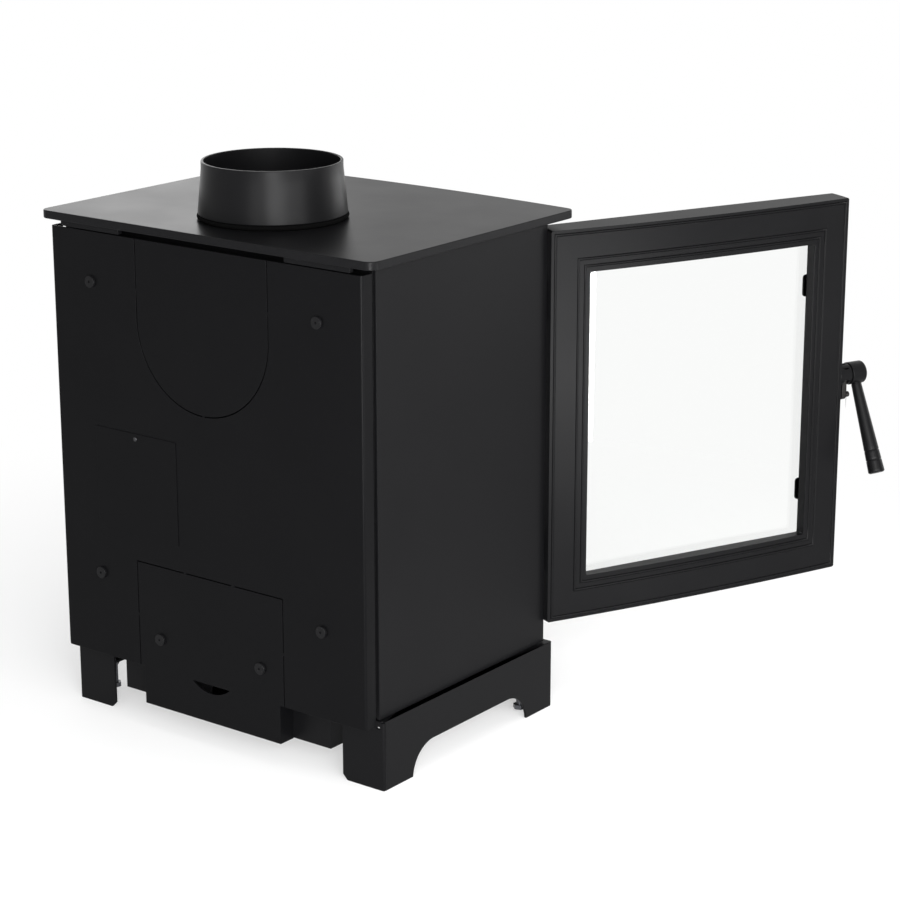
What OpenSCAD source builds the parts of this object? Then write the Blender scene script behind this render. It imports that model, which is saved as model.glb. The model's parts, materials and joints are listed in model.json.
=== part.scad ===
// Wood-burning stove with its door open.
// Millimetres. Z = 0 is the hearth, the flue axis is X = 0, Y = 0, and the front faces -Y.
// Left and right are as seen from the front, so right is +X.
// The door pieces are drawn shut and then turned about the hinge to the open pose.

/* [Body] */
// Width across the steel side panels
body_w = 430; // [424:2:440]
// Depth from the back panel to the face of the front frame
body_d = 293.5; // [289.5:0.5:300.5]
// Height of the top plate's upper face above the hearth
stove_h = 566; // [560:1:580]
// Thickness of the side, back and base panels
shell_t = 4; // [3:0.5:4]
// Thickness of the cast front frame
frame_t = 8; // [7:1:9]
// Distance from the flue axis back to the rear face of the back panel
flue_setback = 94.5; // [94:0.5:98]

/* [Top plate] */
// Width of the top plate
plate_w = 460; // [456:2:470]
// Thickness of the top plate
plate_t = 9; // [8:0.5:10]
// Overhang of the top plate behind the back panel
plate_rear_over = 24.3; // [24:0.1:26]
// Overhang of the top plate's front corners
plate_front_over = 30.6; // [30:0.2:34]
// Rise of the bowed front edge at its middle
plate_bow = 11.6; // [8:0.2:14]
// Radius of the plate's corners in plan
plate_corner_r = 12; // [8:1:16]

/* [Flue collar] */
// Outside diameter of the collar's straight rim, for 150 mm flue pipe
collar_rim_d = 150; // [149:0.5:151]
// Outside diameter of the collar at its foot
collar_foot_d = 159.2; // [157:0.2:160]
// Inside diameter of the collar
collar_bore_d = 144; // [143:0.5:145]
// Height of the collar above its rope seal
collar_h = 55.6; // [50:0.2:60]
// Height of the straight band at the rim
collar_band = 8; // [6:1:10]
// Height of the rope seal under the collar
flue_seal_h = 6; // [4:0.5:7]

/* [Rear heat shield] */
// Width of the shield across its side flanges
shield_w = 429.4; // [426:0.2:432]
// Air gap between the back panel and the shield
shield_gap = 20; // [20:0.5:22]
// Thickness of the shield sheet
shield_t = 2; // [1.5:0.5:2]
// Depth of the shield's side flanges
shield_flange = 16.3; // [14:0.1:18]
// Height of the shield's lower edge above the hearth
shield_low = 72.4; // [70:0.2:76]
// Radius of the round knock-out behind the rear flue outlet
outlet_cut_r = 91.6; // [88:0.2:94]
// Height of the rear flue outlet's axis
outlet_z = 464; // [455:1:466]
// Half width of the lower knock-out
low_cut_half = 104; // [102:1:106]
// Height of the top of the lower knock-out
low_cut_top = 192.8; // [185:0.2:200]
// Half width of the skirt that hangs from the lower knock-out
skirt_half = 98; // [94:1:100]
// Height of the skirt's lower edge
skirt_low = 29; // [26:1:34]
// Width of the cut lines
cut_w = 1.2; // [1:0.1:1.5]

/* [Plinth] */
// Width of the plinth
plinth_w = 443; // [440:1:446]
// Height of the plinth
plinth_h = 77; // [75:1:80]
// Thickness of the plinth sheet
plinth_t = 3; // [2.5:0.5:3]
// Length of each foot along the side
foot_len = 49; // [45:1:53]
// Width of the returns across the front and the back
return_w = 55.7; // [50:0.1:58]
// Height of the arches between the feet
arch_h = 33; // [30:1:36]
// Radius at the ends of the side arches
arch_r = 36; // [36:1:40]

/* [Door] */
// Width of the door's outer face
door_w = 398.7; // [396:0.1:400]
// Height of the door's outer face
door_h = 444.2; // [440:0.2:446]
// Height of the door's lower edge above the hearth
door_low = 101.3; // [100.5:0.1:103]
// Thickness of the door at its edges
door_t = 26; // [25:0.5:27]
// Outward bow of the door's face
door_bow = 6.6; // [5:0.2:8]
// Draft of the door's edges: the back is wider by this much on every side
door_draft = 2; // [1:0.5:2]
// Height of the three raised beads round the face
bead_h = 1; // [0.8:0.1:1.4]
// Width of each bead
bead_w = 3; // [2:0.1:4]
// Distance from the edge to the middle of the outer bead
bead_a = 5.1; // [4:0.1:7]
// Distance from the edge to the middle of the second bead
bead_b = 33.6; // [30:0.1:36]
// Distance from the edge to the middle of the inner bead
bead_c = 41.8; // [40:0.1:44]
// Distance from the edge to the glass opening
sight_inset = 48.7; // [47:0.1:50]
// Angle that the door stands open
door_open = 113.5; // [90:0.5:113.5]

/* [Handle] */
// Tilt of the hanging lever away from the vertical
lever_tilt = 25; // [0:1:30]
// Length of the lever from the turning axis
lever_len = 121; // [110:1:125]
// Height of the handle's axis above the hearth
handle_z = 333.5; // [330:0.5:345]
// Diameter of the fixed boss on the door's edge
boss_d = 25; // [24:0.5:25]
// Diameter of the turning hub
hub_d = 26.5; // [25:0.5:27]

/* [Firebox] */
// Thickness of the fire bricks
brick_t = 25; // [20:1:28]
// Height of the shelf that carries the grate and bricks
shelf_z = 162; // [160:1:166]
// Number of slots in the grate
grate_slots = 12; // [8:1:13]

/* [Hidden] */
$fn = 96;
eps = 0.01;
far = 600;
big_fn = 1440;

// Places of the main planes
body_rear = flue_setback;
body_front = body_rear - body_d;
half_w = body_w / 2;
inner_half = half_w - shell_t;
plate_low = stove_h - plate_t;
plinth_gap = 2;
panel_low = plinth_h + plinth_gap;
frame_back = body_front + frame_t;
inner_rear = body_rear - shell_t;

// Top plate
plate_half = plate_w / 2;
plate_rear = body_rear + plate_rear_over;
plate_front = body_front - plate_front_over;
bow_r = (plate_half * plate_half + plate_bow * plate_bow) / (2 * plate_bow);
bow_y = plate_front - plate_bow + bow_r;
corner_x = plate_half - plate_corner_r;
front_corner_y = bow_y - sqrt(pow(bow_r - plate_corner_r, 2) - corner_x * corner_x);
flue_hole_r = 70;
collar_ledge_r = 70;
collar_ledge_h = 12;
lug_w = 26;
lug_in_r = 54;
lug_t = 6;
lug_bolt_r = 62;
lug_angles = [30, 150, 270];

// Flue collar
seal_top = stove_h + flue_seal_h;
seal_out_r = collar_foot_d / 2 + 1.1;
seal_in_r = 74;
collar_top = seal_top + collar_h;

// Rear shield
shield_in = body_rear + shield_gap;
shield_out = shield_in + shield_t;
shield_half = shield_w / 2;
shield_top = plate_low - 6.6;
joint_w = 3;
crescent_half = 27;
crescent_drop = 10;
crescent_r = (crescent_half * crescent_half + crescent_drop * crescent_drop) / (2 * crescent_drop);
shield_screw_x = 157.5;
shield_screw_z = [169, 496];
cover_screw_x = 72;
cover_screw_z = 109;
screw_r = 2.5;
screw_head_r = 6.5;
screw_head_h = 3;
screw_key_w = 2.5;
screw_key_depth = 1.2;
spacer_r = 6;
tab_x = [114.5, 199.5];
tab_h = 5.4;
tab_t = 6;

// Data plate, left blank
plate_x = [41, 158];
plate_z = [221.5, 337];
rivet_z = 331;
rivet_r = 1.6;
data_t = 0.8;

// Air box below the body
box_half = 148.5;
box_low = 29;
box_t = 2;
box_d = 190;
air_way_half = 90;
air_way_d = 120;
inlet_r = 20;
inlet_z = 53;

// Plinth
plinth_half = plinth_w / 2;
plinth_rear = body_rear + 1.5;
plinth_front_y = body_front - 8;
return_in = plinth_half - return_w;
foot_chamfer = 6;
flange_w = 20;
relief_x = [211.5, 216];
relief_z = [68.4, 70.8];
corner_notch = [4.5, 2];
level_x = 205;
level_inset = 39;
level_ys = [plinth_front_y + level_inset, plinth_rear - level_inset];
level_r = 4;
level_head_af = 13;
level_head_h = 5.3;
level_head_low = 4.9;
level_top = 56;
bracket_z = 44;
bracket_w = 40;
pinch_x = 206;
pinch_ys = [-120, 20];

// Door, drawn shut
door_cz = door_low + door_h / 2;
door_half = door_w / 2;
door_half_h = door_h / 2;
door_face = body_front - 4 - door_t;
door_back = door_face + door_t;
door_bow_r = (door_half * door_half + door_bow * door_bow) / (2 * door_bow);
door_bow_y = door_face - door_bow + door_bow_r;
door_corner_r = 9;
sight_depth = 10.8;
tape_t = 2;
glass_t = 4;
clip_t = 2;
glass_front = door_face + sight_depth + tape_t;
clip_front = glass_front + glass_t;
glass_inset = sight_inset - 9;
pocket_inset = sight_inset - 12;
land_inset = sight_inset - 19.5;
rope_inset = 12;
rope_w = 8;
rope_depth = 5;
rope_proud = 3.5;
clip_h = 26;
clip_dz = 122;
clip_reach = 1.5;
clip_screw_x = door_half - land_inset - 4;
clip_screw_len = 7;

// Opening of the front frame
opening_half = door_half - rope_inset - rope_w - 9;
opening_low = door_low + rope_inset + rope_w + 5;
opening_top = door_low + door_h - rope_inset - rope_w - 5;

// Hinge
hinge_x = -(door_half + 0.95);
hinge_y = body_front - 6.9;
hinge_zs = [door_cz - 143, door_cz + 143];
hinge_pin_r = 3.5;
hinge_play = 0.06;
knuckle_r = 6.5;
lug_h = 19;
notch_h = 21;
notch_r = 10;
knuckle_h = 13;

// Handle: x runs along its axis, out of the door's free edge
handle_y = door_face + 13;
boss_x = [door_half - 0.85, door_half + 16.3];
washer_x = [boss_x[1] + 0.1, boss_x[1] + 0.9];
hub_x = [boss_x[1] + 1, boss_x[1] + 20.5];
spindle_r = 5;
spindle_play = 0.06;
spindle_x = [door_half - 7, hub_x[1] - 6];
spindle_hole_x = door_half - 8;
end_screw_x = spindle_x[1] - 12;
end_screw_r = 2.5;
end_head_r = 4.5;
end_head_h = 3;
lever_x = (hub_x[0] + hub_x[1]) / 2;
lever_top_r = 6;
lever_end_r = 9.7;
spigot_r = 5.4;
groove_at = [94, 105.5];
cam_x = [door_half + 6.7, door_half + 12.7];
cam_slot_play = 0.3;
cam_hub_r = 8;
hook = [13, 12];
hook_r = 3;
tail_front = -6;
tail_back = 4;
tail_low = -30;
nub_r = 3.3;
nub_len = 5;

// Keeper on the front frame
keeper_x = [door_half + 3.7, half_w - 0.5];
cheek_in = [keeper_x[0], cam_x[0] - 0.7];
cheek_out = [cam_x[1] + 0.4, keeper_x[1]];
lip_back = handle_y + 3.4;
lip_t = 3.7;
lip_low = handle_z + 15.6;
roof_low = handle_z + 20.3;
roof_t = 4;
keeper_low = handle_z + boss_d / 2 + 1;

// Firebox
shelf_t = 4;
brick_low = shelf_z + shelf_t;
brick_in = inner_half - brick_t;
brick_front = body_front + 39;
baffle_rear_z = 395;
baffle_front_z = 440;
baffle_front = -130;
baffle_t = 20;
grate_half = 136;
grate_y = [-146, 36];
grate_t = 10;
grate_hole_half = 130;
grate_hole_y = [-140, 30];
slot_w = 9;
slot_pitch = 2 * (grate_hole_half - 10) / grate_slots;
guard_y = [-182, -174];
guard_half = 178;
guard_h = 46;
guard_bars = 15;

// Ash pan
ash_shelf_z = opening_low - shelf_t;
air_slot_half = 30;
air_slot_y = [66, 84];
pan_low = opening_low + 0.6;
pan_top = shelf_z - 4;
pan_half = 150;
pan_y = [-188, 60];
pan_t = 1.5;
pull_half = 30;
pull_d = 8;
pull_t = 1.5;
pull_lip = 5;
pull_drop = 8;

// Air control
rail_half = 75;
rail_out = 7.5;
rail_in = 5.5;
rail_t = 5;
rail_lip = 1.5;
rail_lip_t = 1.5;
slider_half = 40;
slider_play = 0.2;
slider_t = rail_t - rail_lip_t - 2 * slider_play;
knob_r = 6;
knob_len = 21;
knob_z = 89.5;
air_hole_r = 3.5;
air_hole_xs = [-24, -8, 8, 24];

black = "#1d1d1e";
cast = "#232324";
soot = "#2c2b2a";
steel = "#55565a";
brick = "#c9b48c";
rope_grey = "#4a4a48";
clear_glass = [0.85, 0.9, 0.92, 0.35];

// ---- Shared shapes ----

// Extrudes an X-Z outline so that it fills Y from y - t to y
module wall(y, t) {
  translate([0, y, 0]) rotate([90, 0, 0]) linear_extrude(t) children();
}

// Extrudes a Y-Z outline so that it fills X from x to x + t
module side_wall(x, t) {
  translate([x, 0, 0]) rotate([90, 0, 90]) linear_extrude(t) children();
}

// A box given by its lower and upper limits on each axis
module block(x, y, z) {
  translate([x[0], y[0], z[0]]) cube([x[1] - x[0], y[1] - y[0], z[1] - z[0]]);
}

// A cylinder along Y from y to y + len
module rod_y(x, y, z, r, len) {
  translate([x, y, z]) rotate([-90, 0, 0]) cylinder(r = r, h = len);
}

// A cylinder along X from x to x + len
module rod_x(x, y, z, r, len) {
  translate([x, y, z]) rotate([0, 90, 0]) cylinder(r = r, h = len);
}

// Rectangle with round corners, centred
module round_rect(w, h, r) {
  square([w - 2 * r, h], center = true);
  square([w, h - 2 * r], center = true);
  for (sx = [-1, 1], sy = [-1, 1]) translate([sx * (w / 2 - r), sy * (h / 2 - r)]) circle(r);
}

// Children and their mirror image in X = 0
module both_sides() {
  for (m = [0, 1]) mirror([m, 0, 0]) children();
}

// ---- Plinth ----

module arch_2d(low, high, r, top) {
  translate([low + r, -2 * r]) square([high - low - 2 * r, top + 2 * r]);
  for (y = [low + r, high - r]) translate([y, top - r]) circle(r);
}

module return_2d() {
  polygon([
    [return_in, foot_chamfer], [return_in + foot_chamfer, 0], [plinth_half, 0],
    [plinth_half, plinth_h], [return_in, plinth_h]
  ]);
}

module plinth_side() {
  difference() {
    union() {
      side_wall(plinth_half - plinth_t, plinth_t) difference() {
        translate([plinth_front_y, 0]) square([plinth_rear - plinth_front_y, plinth_h]);
        arch_2d(plinth_front_y + foot_len, plinth_rear - foot_len, arch_r, arch_h);
      }
      wall(plinth_rear, plinth_t) return_2d();
      wall(plinth_front_y + plinth_t, plinth_t) return_2d();
      block([plinth_half - flange_w, plinth_half - eps],
            [plinth_front_y + plinth_t - eps, plinth_rear - plinth_t + eps],
            [plinth_h - plinth_t, plinth_h]);
      block([plinth_half - bracket_w, plinth_half - eps],
            [plinth_front_y + eps, plinth_front_y + bracket_w + 10],
            [bracket_z, bracket_z + plinth_t]);
      block([plinth_half - bracket_w, plinth_half - eps],
            [plinth_rear - bracket_w - 10, plinth_rear - eps],
            [bracket_z, bracket_z + plinth_t]);
    }
    for (y = level_ys) translate([level_x, y, bracket_z - 1]) cylinder(r = level_r + 0.06, h = plinth_t + 2);
    for (y = pinch_ys) translate([pinch_x, y, plinth_h - plinth_t - 1]) cylinder(r = 3.1, h = plinth_t + 2);
    block(relief_x, [plinth_rear - plinth_t - 1, plinth_rear + 1], relief_z);
    block([plinth_half - corner_notch[0], plinth_half + 1], [plinth_rear - plinth_t, plinth_rear + 1],
          [plinth_h - corner_notch[1], plinth_h + 1]);
  }
}

module plinth_left() {
  color(black) mirror([1, 0, 0]) plinth_side();
}

module plinth_right() {
  color(black) plinth_side();
}

module plinth_front() {
  color(black) block([-return_in, return_in], [plinth_front_y, plinth_front_y + plinth_t], [arch_h, plinth_h]);
}

// Hexagon-head bolt that stands head down; z is the underside of the flange that it clamps
module hex_bolt(r, af, head_h, low, top) {
  translate([0, 0, low]) cylinder(d = af / cos(30), h = head_h, $fn = 6);
  translate([0, 0, low + head_h - eps]) cylinder(r = r, h = top - low - head_h + eps);
}

module plinth_bolts() {
  color(steel) for (sx = [-1, 1], y = pinch_ys) translate([sx * pinch_x, y, 0])
    hex_bolt(3, 10, 4, plinth_h - plinth_t - 4, plinth_h + shell_t);
}

module levelling_bolt(sx, y) {
  color(steel) translate([sx * level_x, y, 0]) hex_bolt(level_r, level_head_af, level_head_h, level_head_low, level_top);
}

module levelling_bolt_front_left() {
  levelling_bolt(-1, level_ys[0]);
}

module levelling_bolt_front_right() {
  levelling_bolt(1, level_ys[0]);
}

module levelling_bolt_rear_left() {
  levelling_bolt(-1, level_ys[1]);
}

module levelling_bolt_rear_right() {
  levelling_bolt(1, level_ys[1]);
}

// ---- Body ----

module base_plate() {
  color(black) difference() {
    block([-inner_half, inner_half], [frame_back, inner_rear], [plinth_h, plinth_h + shell_t]);
    block([-air_way_half, air_way_half], [-air_way_d / 2, air_way_d / 2], [plinth_h - 1, plinth_h + shell_t + 1]);
    for (sx = [-1, 1], y = pinch_ys) translate([sx * pinch_x, y, plinth_h - 1]) cylinder(r = 3.1, h = shell_t + 2);
  }
}

module side_panel() {
  block([inner_half, half_w], [body_front, body_rear], [panel_low, plate_low]);
}

module side_panel_left() {
  color(black) mirror([1, 0, 0]) side_panel();
}

module side_panel_right() {
  color(black) side_panel();
}

module back_panel() {
  color(black) difference() {
    block([-inner_half, inner_half], [inner_rear, body_rear], [panel_low, plate_low]);
    rod_y(0, inner_rear - 1, outlet_z, 66, shell_t + 2);
    for (a = [0, 120, 240]) rotate_about(outlet_z, a) rod_y(0, inner_rear - 1, outlet_z + 72, 3.1, shell_t + 2);
    for (p = all_points()) rod_y(p[0], inner_rear - 1, p[1], screw_r + 0.1, shell_t + 2);
  }
}

// Turns children about the Y axis through height z
module rotate_about(z, a) {
  translate([0, 0, z]) rotate([0, a, 0]) translate([0, 0, -z]) children();
}

module front_frame() {
  color(cast) difference() {
    block([-inner_half, inner_half], [body_front, frame_back], [panel_low, plate_low]);
    block([-opening_half, opening_half], [body_front - 1, frame_back + 1], [opening_low, opening_top]);
    for (x = air_hole_xs) rod_y(x, body_front - 1, knob_z, air_hole_r, frame_t + 2);
  }
}

module ash_shelf() {
  color(soot) difference() {
    block([-inner_half, inner_half], [frame_back, inner_rear], [ash_shelf_z, ash_shelf_z + shelf_t]);
    block([-air_slot_half, air_slot_half], air_slot_y, [ash_shelf_z - 1, ash_shelf_z + shelf_t + 1]);
  }
}

module grate_shelf() {
  color(soot) difference() {
    block([-inner_half, inner_half], [frame_back, inner_rear], [shelf_z, shelf_z + shelf_t]);
    block([-grate_hole_half, grate_hole_half], grate_hole_y, [shelf_z - 1, shelf_z + shelf_t + 1]);
  }
}

// ---- Top plate and flue ----

module plate_outline() {
  translate([-plate_half, front_corner_y]) square([plate_w, plate_rear - plate_corner_r - front_corner_y]);
  translate([-corner_x, front_corner_y]) square([2 * corner_x, plate_rear - front_corner_y]);
  for (sx = [-1, 1], y = [front_corner_y, plate_rear - plate_corner_r])
    translate([sx * corner_x, y]) circle(plate_corner_r);
  intersection() {
    translate([-corner_x, plate_front - far / 2]) square([2 * corner_x, far / 2 + plate_corner_r]);
    translate([0, bow_y]) circle(bow_r, $fn = big_fn);
  }
}

module lugs_2d() {
  for (a = lug_angles) rotate(a) translate([lug_in_r, -lug_w / 2]) square([flue_hole_r + 1 - lug_in_r, lug_w]);
}

module top_plate() {
  color("#3a3a3b") translate([0, 0, plate_low]) linear_extrude(plate_t) difference() {
    plate_outline();
    difference() {
      circle(flue_hole_r);
      lugs_2d();
    }
    for (a = lug_angles) rotate(a) translate([lug_bolt_r, 0]) circle(3.6);
  }
}

module flue_seal() {
  color("#101010") rotate_extrude() {
    translate([seal_in_r, stove_h]) square([seal_out_r - seal_in_r - flue_seal_h / 2, flue_seal_h]);
    translate([seal_out_r - flue_seal_h / 2, stove_h + flue_seal_h / 2]) circle(flue_seal_h / 2);
  }
}

module flue_collar() {
  color(cast) difference() {
    union() {
      rotate_extrude($fn = 180) polygon([
        [collar_ledge_r, seal_top], [collar_foot_d / 2, seal_top],
        [collar_rim_d / 2, collar_top - collar_band], [collar_rim_d / 2, collar_top],
        [collar_bore_d / 2, collar_top], [collar_bore_d / 2, seal_top + collar_ledge_h],
        [collar_ledge_r, seal_top + collar_ledge_h]
      ]);
      translate([0, 0, seal_top]) linear_extrude(lug_t) intersection() {
        difference() {
          circle(collar_bore_d / 2 + 1);
          circle(lug_in_r);
        }
        for (a = lug_angles) rotate(a) translate([lug_in_r - 1, -lug_w / 2]) square([30, lug_w]);
      }
    }
    for (a = lug_angles) rotate(a) translate([lug_bolt_r, 0, seal_top - 1]) cylinder(r = 4.2, h = lug_t + 2);
  }
}

module collar_bolts() {
  color(steel) for (a = lug_angles) rotate(a) translate([lug_bolt_r, 0, 0]) {
    translate([0, 0, seal_top + lug_t]) cylinder(d = 13 / cos(30), h = 5, $fn = 6);
    translate([0, 0, plate_low]) cylinder(r = 3.5, h = seal_top + lug_t - plate_low + eps);
  }
}

module outlet_blank() {
  color(cast) difference() {
    rod_y(0, body_rear, outlet_z, 80, 5);
    for (a = [0, 120, 240]) rotate_about(outlet_z, a) rod_y(0, body_rear - 1, outlet_z + 72, 3.1, 7);
  }
}

module outlet_blank_bolts() {
  color(steel) for (a = [0, 120, 240]) rotate_about(outlet_z, a) {
    rod_y(0, inner_rear, outlet_z + 72, 3, shell_t + 5 + eps);
    translate([0, body_rear + 5, outlet_z + 72]) rotate([-90, 0, 0]) cylinder(d = 10 / cos(30), h = 4, $fn = 6);
  }
}

// ---- Air box, shield and data plate ----

module air_box() {
  color(black) difference() {
    block([-box_half, box_half], [body_rear - box_d, body_rear], [box_low, plinth_h]);
    block([-box_half + box_t, box_half - box_t], [body_rear - box_d + box_t, body_rear - box_t],
          [box_low + box_t, plinth_h + 1]);
    rod_y(0, body_rear - box_t - 1, inlet_z, inlet_r, box_t + 2);
  }
}

function shield_points() = [for (sx = [-1, 1], z = shield_screw_z) [sx * shield_screw_x, z]];

function cover_points() = [for (sx = [-1, 1]) [sx * cover_screw_x, cover_screw_z]];

function all_points() = concat(shield_points(), cover_points());

// The U-shaped cut line, with three joints left in it
module outlet_cut_2d() {
  difference() {
    translate([0, outlet_z]) difference() {
      union() {
        circle(outlet_cut_r + cut_w / 2);
        translate([-outlet_cut_r - cut_w / 2, 0]) square([2 * outlet_cut_r + cut_w, far]);
      }
      circle(outlet_cut_r - cut_w / 2);
      translate([-outlet_cut_r + cut_w / 2, 0]) square([2 * outlet_cut_r - cut_w, far]);
    }
    translate([-far, outlet_z + 30]) square([2 * far, joint_w]);
    translate([-joint_w / 2, outlet_z - far]) square([joint_w, far]);
  }
}

// The cut line round the lower cover, with four joints left in it
module low_cut_2d() {
  difference() {
    union() {
      translate([-low_cut_half - cut_w / 2, low_cut_top - cut_w / 2]) square([2 * low_cut_half + cut_w, cut_w]);
      for (sx = [-1, 1]) translate([sx * low_cut_half - cut_w / 2, shield_low - 1])
        square([cut_w, low_cut_top - shield_low + 1]);
    }
    for (x = [-34, 34]) translate([x - joint_w / 2, low_cut_top - 2]) square([joint_w, 4]);
    translate([-far, 130]) square([2 * far, joint_w]);
  }
}

module crescent_2d() {
  intersection() {
    translate([0, shield_low - crescent_drop + crescent_r]) circle(crescent_r);
    translate([-far, -far]) square([2 * far, far + shield_low]);
  }
}

module rear_shield() {
  color("#1e1e1f") {
    difference() {
      union() {
        wall(shield_out, shield_t) difference() {
          union() {
            translate([-shield_half, shield_low]) square([shield_w, shield_top - shield_low]);
            translate([-skirt_half, skirt_low]) square([2 * skirt_half, shield_low - skirt_low + 1]);
          }
          outlet_cut_2d();
          low_cut_2d();
          crescent_2d();
        }
        both_sides() {
          block([shield_half - shield_t, shield_half], [shield_out - shield_flange, shield_out - eps],
                [shield_low, shield_top]);
          block([skirt_half - shield_t, skirt_half], [body_rear + 1, shield_out - eps], [skirt_low, shield_low - 2]);
        }
      }
      for (p = all_points())
        rod_y(p[0], shield_in - 1, p[1], screw_r + 0.1, shield_t + 2);
      rod_y(plate_x[0] / 2 + plate_x[1] / 2, shield_in - 1, rivet_z, rivet_r + 0.05, shield_t + 2);
    }
  }
}

module shield_spacers() {
  color(steel) for (p = all_points()) difference() {
    rod_y(p[0], body_rear, p[1], spacer_r, shield_gap);
    rod_y(p[0], body_rear - 1, p[1], screw_r + 0.1, shield_gap + 2);
  }
}

// Flat-faced round-head screw with a small hexagon socket, driven in from the rear
module shield_screw(p) {
  difference() {
    union() {
      rod_y(p[0], inner_rear, p[1], screw_r, shield_out - inner_rear + eps);
      rod_y(p[0], shield_out, p[1], screw_head_r, screw_head_h);
    }
    translate([p[0], shield_out + screw_head_h - screw_key_depth, p[1]]) rotate([-90, 0, 0])
      cylinder(d = screw_key_w / cos(30), h = 4, $fn = 6);
  }
}

module shield_screws() {
  color("#141414") for (p = shield_points()) shield_screw(p);
}

module cover_screws() {
  color("#141414") for (p = cover_points()) shield_screw(p);
}

module shield_tabs() {
  color(black) both_sides() block(tab_x, [shield_out - tab_t, shield_out], [plate_low - tab_h, plate_low]);
}

module data_plate() {
  color("#202021") difference() {
    block(plate_x, [shield_out, shield_out + data_t], plate_z);
    rod_y(plate_x[0] / 2 + plate_x[1] / 2, shield_out - 1, rivet_z, rivet_r + 0.05, 3);
  }
}

module data_plate_rivet() {
  color(steel) {
    rod_y(plate_x[0] / 2 + plate_x[1] / 2, shield_in, rivet_z, rivet_r, shield_t + data_t + eps);
    rod_y(plate_x[0] / 2 + plate_x[1] / 2, shield_out + data_t, rivet_z, 2.4, 0.9);
  }
}

// ---- Firebox ----

module side_brick() {
  side_wall(brick_in, brick_t) polygon([
    [brick_front, brick_low], [inner_rear, brick_low], [inner_rear, baffle_rear_z],
    [baffle_front, baffle_front_z], [brick_front, baffle_front_z]
  ]);
}

module brick_left() {
  color(brick) mirror([1, 0, 0]) side_brick();
}

module brick_right() {
  color(brick) side_brick();
}

module brick_rear() {
  color(brick) block([-brick_in, brick_in], [inner_rear - brick_t, inner_rear], [brick_low, baffle_rear_z]);
}

module baffle() {
  color(brick) side_wall(-inner_half + 2, 2 * inner_half - 4) polygon([
    [inner_rear, baffle_rear_z], [inner_rear, baffle_rear_z + baffle_t],
    [baffle_front, baffle_front_z + baffle_t], [baffle_front, baffle_front_z]
  ]);
}

module grate() {
  color(cast) difference() {
    block([-grate_half, grate_half], grate_y, [brick_low, brick_low + grate_t]);
    for (i = [0:grate_slots - 1]) translate([(i - (grate_slots - 1) / 2) * slot_pitch, 0, 0])
      block([-slot_w / 2, slot_w / 2], [grate_hole_y[0] + 6, grate_hole_y[1] - 6],
            [brick_low - 1, brick_low + grate_t + 1]);
  }
}

module log_guard() {
  color(cast) difference() {
    block([-guard_half, guard_half], guard_y, [brick_low, brick_low + guard_h]);
    for (i = [0:guard_bars - 1]) translate([(i - (guard_bars - 1) / 2) * 22, 0, 0])
      block([-6, 6], [guard_y[0] - 1, guard_y[1] + 1], [brick_low + 12, brick_low + guard_h - 10]);
  }
}

module airwash_plate() {
  color(soot) {
    block([-brick_in, brick_in], [frame_back, frame_back + 8], [opening_top + 12, opening_top + 14]);
    block([-brick_in, brick_in], [frame_back + 6, frame_back + 8], [opening_top - 22, opening_top + 12 + eps]);
  }
}

module ash_pan() {
  color("#6a6b6d") difference() {
    block([-pan_half, pan_half], pan_y, [pan_low, pan_top]);
    block([-pan_half + pan_t, pan_half - pan_t], [pan_y[0] + pan_t, pan_y[1] - pan_t], [pan_low + pan_t, pan_top + 1]);
  }
}

// Folded strip welded to the front of the pan, with its lip turned up
module ash_pan_pull() {
  color("#6a6b6d") translate([-pull_half, pan_y[0] - pull_d, pan_top - pull_drop]) {
    cube([2 * pull_half, pull_d, pull_t]);
    cube([2 * pull_half, pull_t, pull_lip]);
  }
}

// ---- Air control ----

module air_rails() {
  color(cast) for (m = [0, 1]) translate([0, 0, knob_z]) mirror([0, 0, m]) side_wall(-rail_half, 2 * rail_half) polygon([
    [body_front, rail_out], [body_front - rail_t, rail_out], [body_front - rail_t, rail_in - rail_lip],
    [body_front - rail_t + rail_lip_t, rail_in - rail_lip], [body_front - rail_t + rail_lip_t, rail_in],
    [body_front, rail_in]
  ]);
}

module air_slider() {
  color(cast) difference() {
    block([-slider_half, slider_half], [body_front - slider_t - slider_play, body_front - slider_play],
          [knob_z - rail_in + slider_play, knob_z + rail_in - slider_play]);
    for (x = air_hole_xs) rod_y(x, body_front - rail_t - 1, knob_z, air_hole_r, rail_t + 2);
  }
}

module air_knob() {
  color(steel) translate([0, body_front - slider_t - slider_play, knob_z]) rotate([90, 0, 0]) rotate_extrude() polygon([
    [0, 0], [3, 0], [3, 6], [knob_r, 9], [knob_r, knob_len - 1], [knob_r - 1, knob_len], [0, knob_len]
  ]);
}

// ---- Hinge and keeper on the body ----

module hinge_brackets() {
  color(cast) for (z = hinge_zs) difference() {
    union() {
      translate([hinge_x, hinge_y, z - lug_h / 2]) cylinder(r = knuckle_r, h = lug_h);
      block([hinge_x - knuckle_r, hinge_x + knuckle_r], [hinge_y, body_front], [z - lug_h / 2, z + lug_h / 2]);
    }
    translate([hinge_x, hinge_y, z - lug_h]) cylinder(r = hinge_pin_r, h = 2 * lug_h);
  }
}

module hinge_pins() {
  color(steel) for (z = hinge_zs)
    translate([hinge_x, hinge_y, z - notch_h / 2 - knuckle_h + 2]) cylinder(r = hinge_pin_r, h = notch_h + 2 * knuckle_h - 4);
}

module door_keeper() {
  color(cast) {
    for (x = [cheek_in, cheek_out]) block(x, [lip_back - lip_t, body_front], [keeper_low, roof_low + eps]);
    block(keeper_x, [lip_back - lip_t, body_front], [roof_low, roof_low + roof_t]);
    block(keeper_x, [lip_back - lip_t, lip_back], [lip_low, roof_low + eps]);
  }
}

// ---- Door ----

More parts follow.
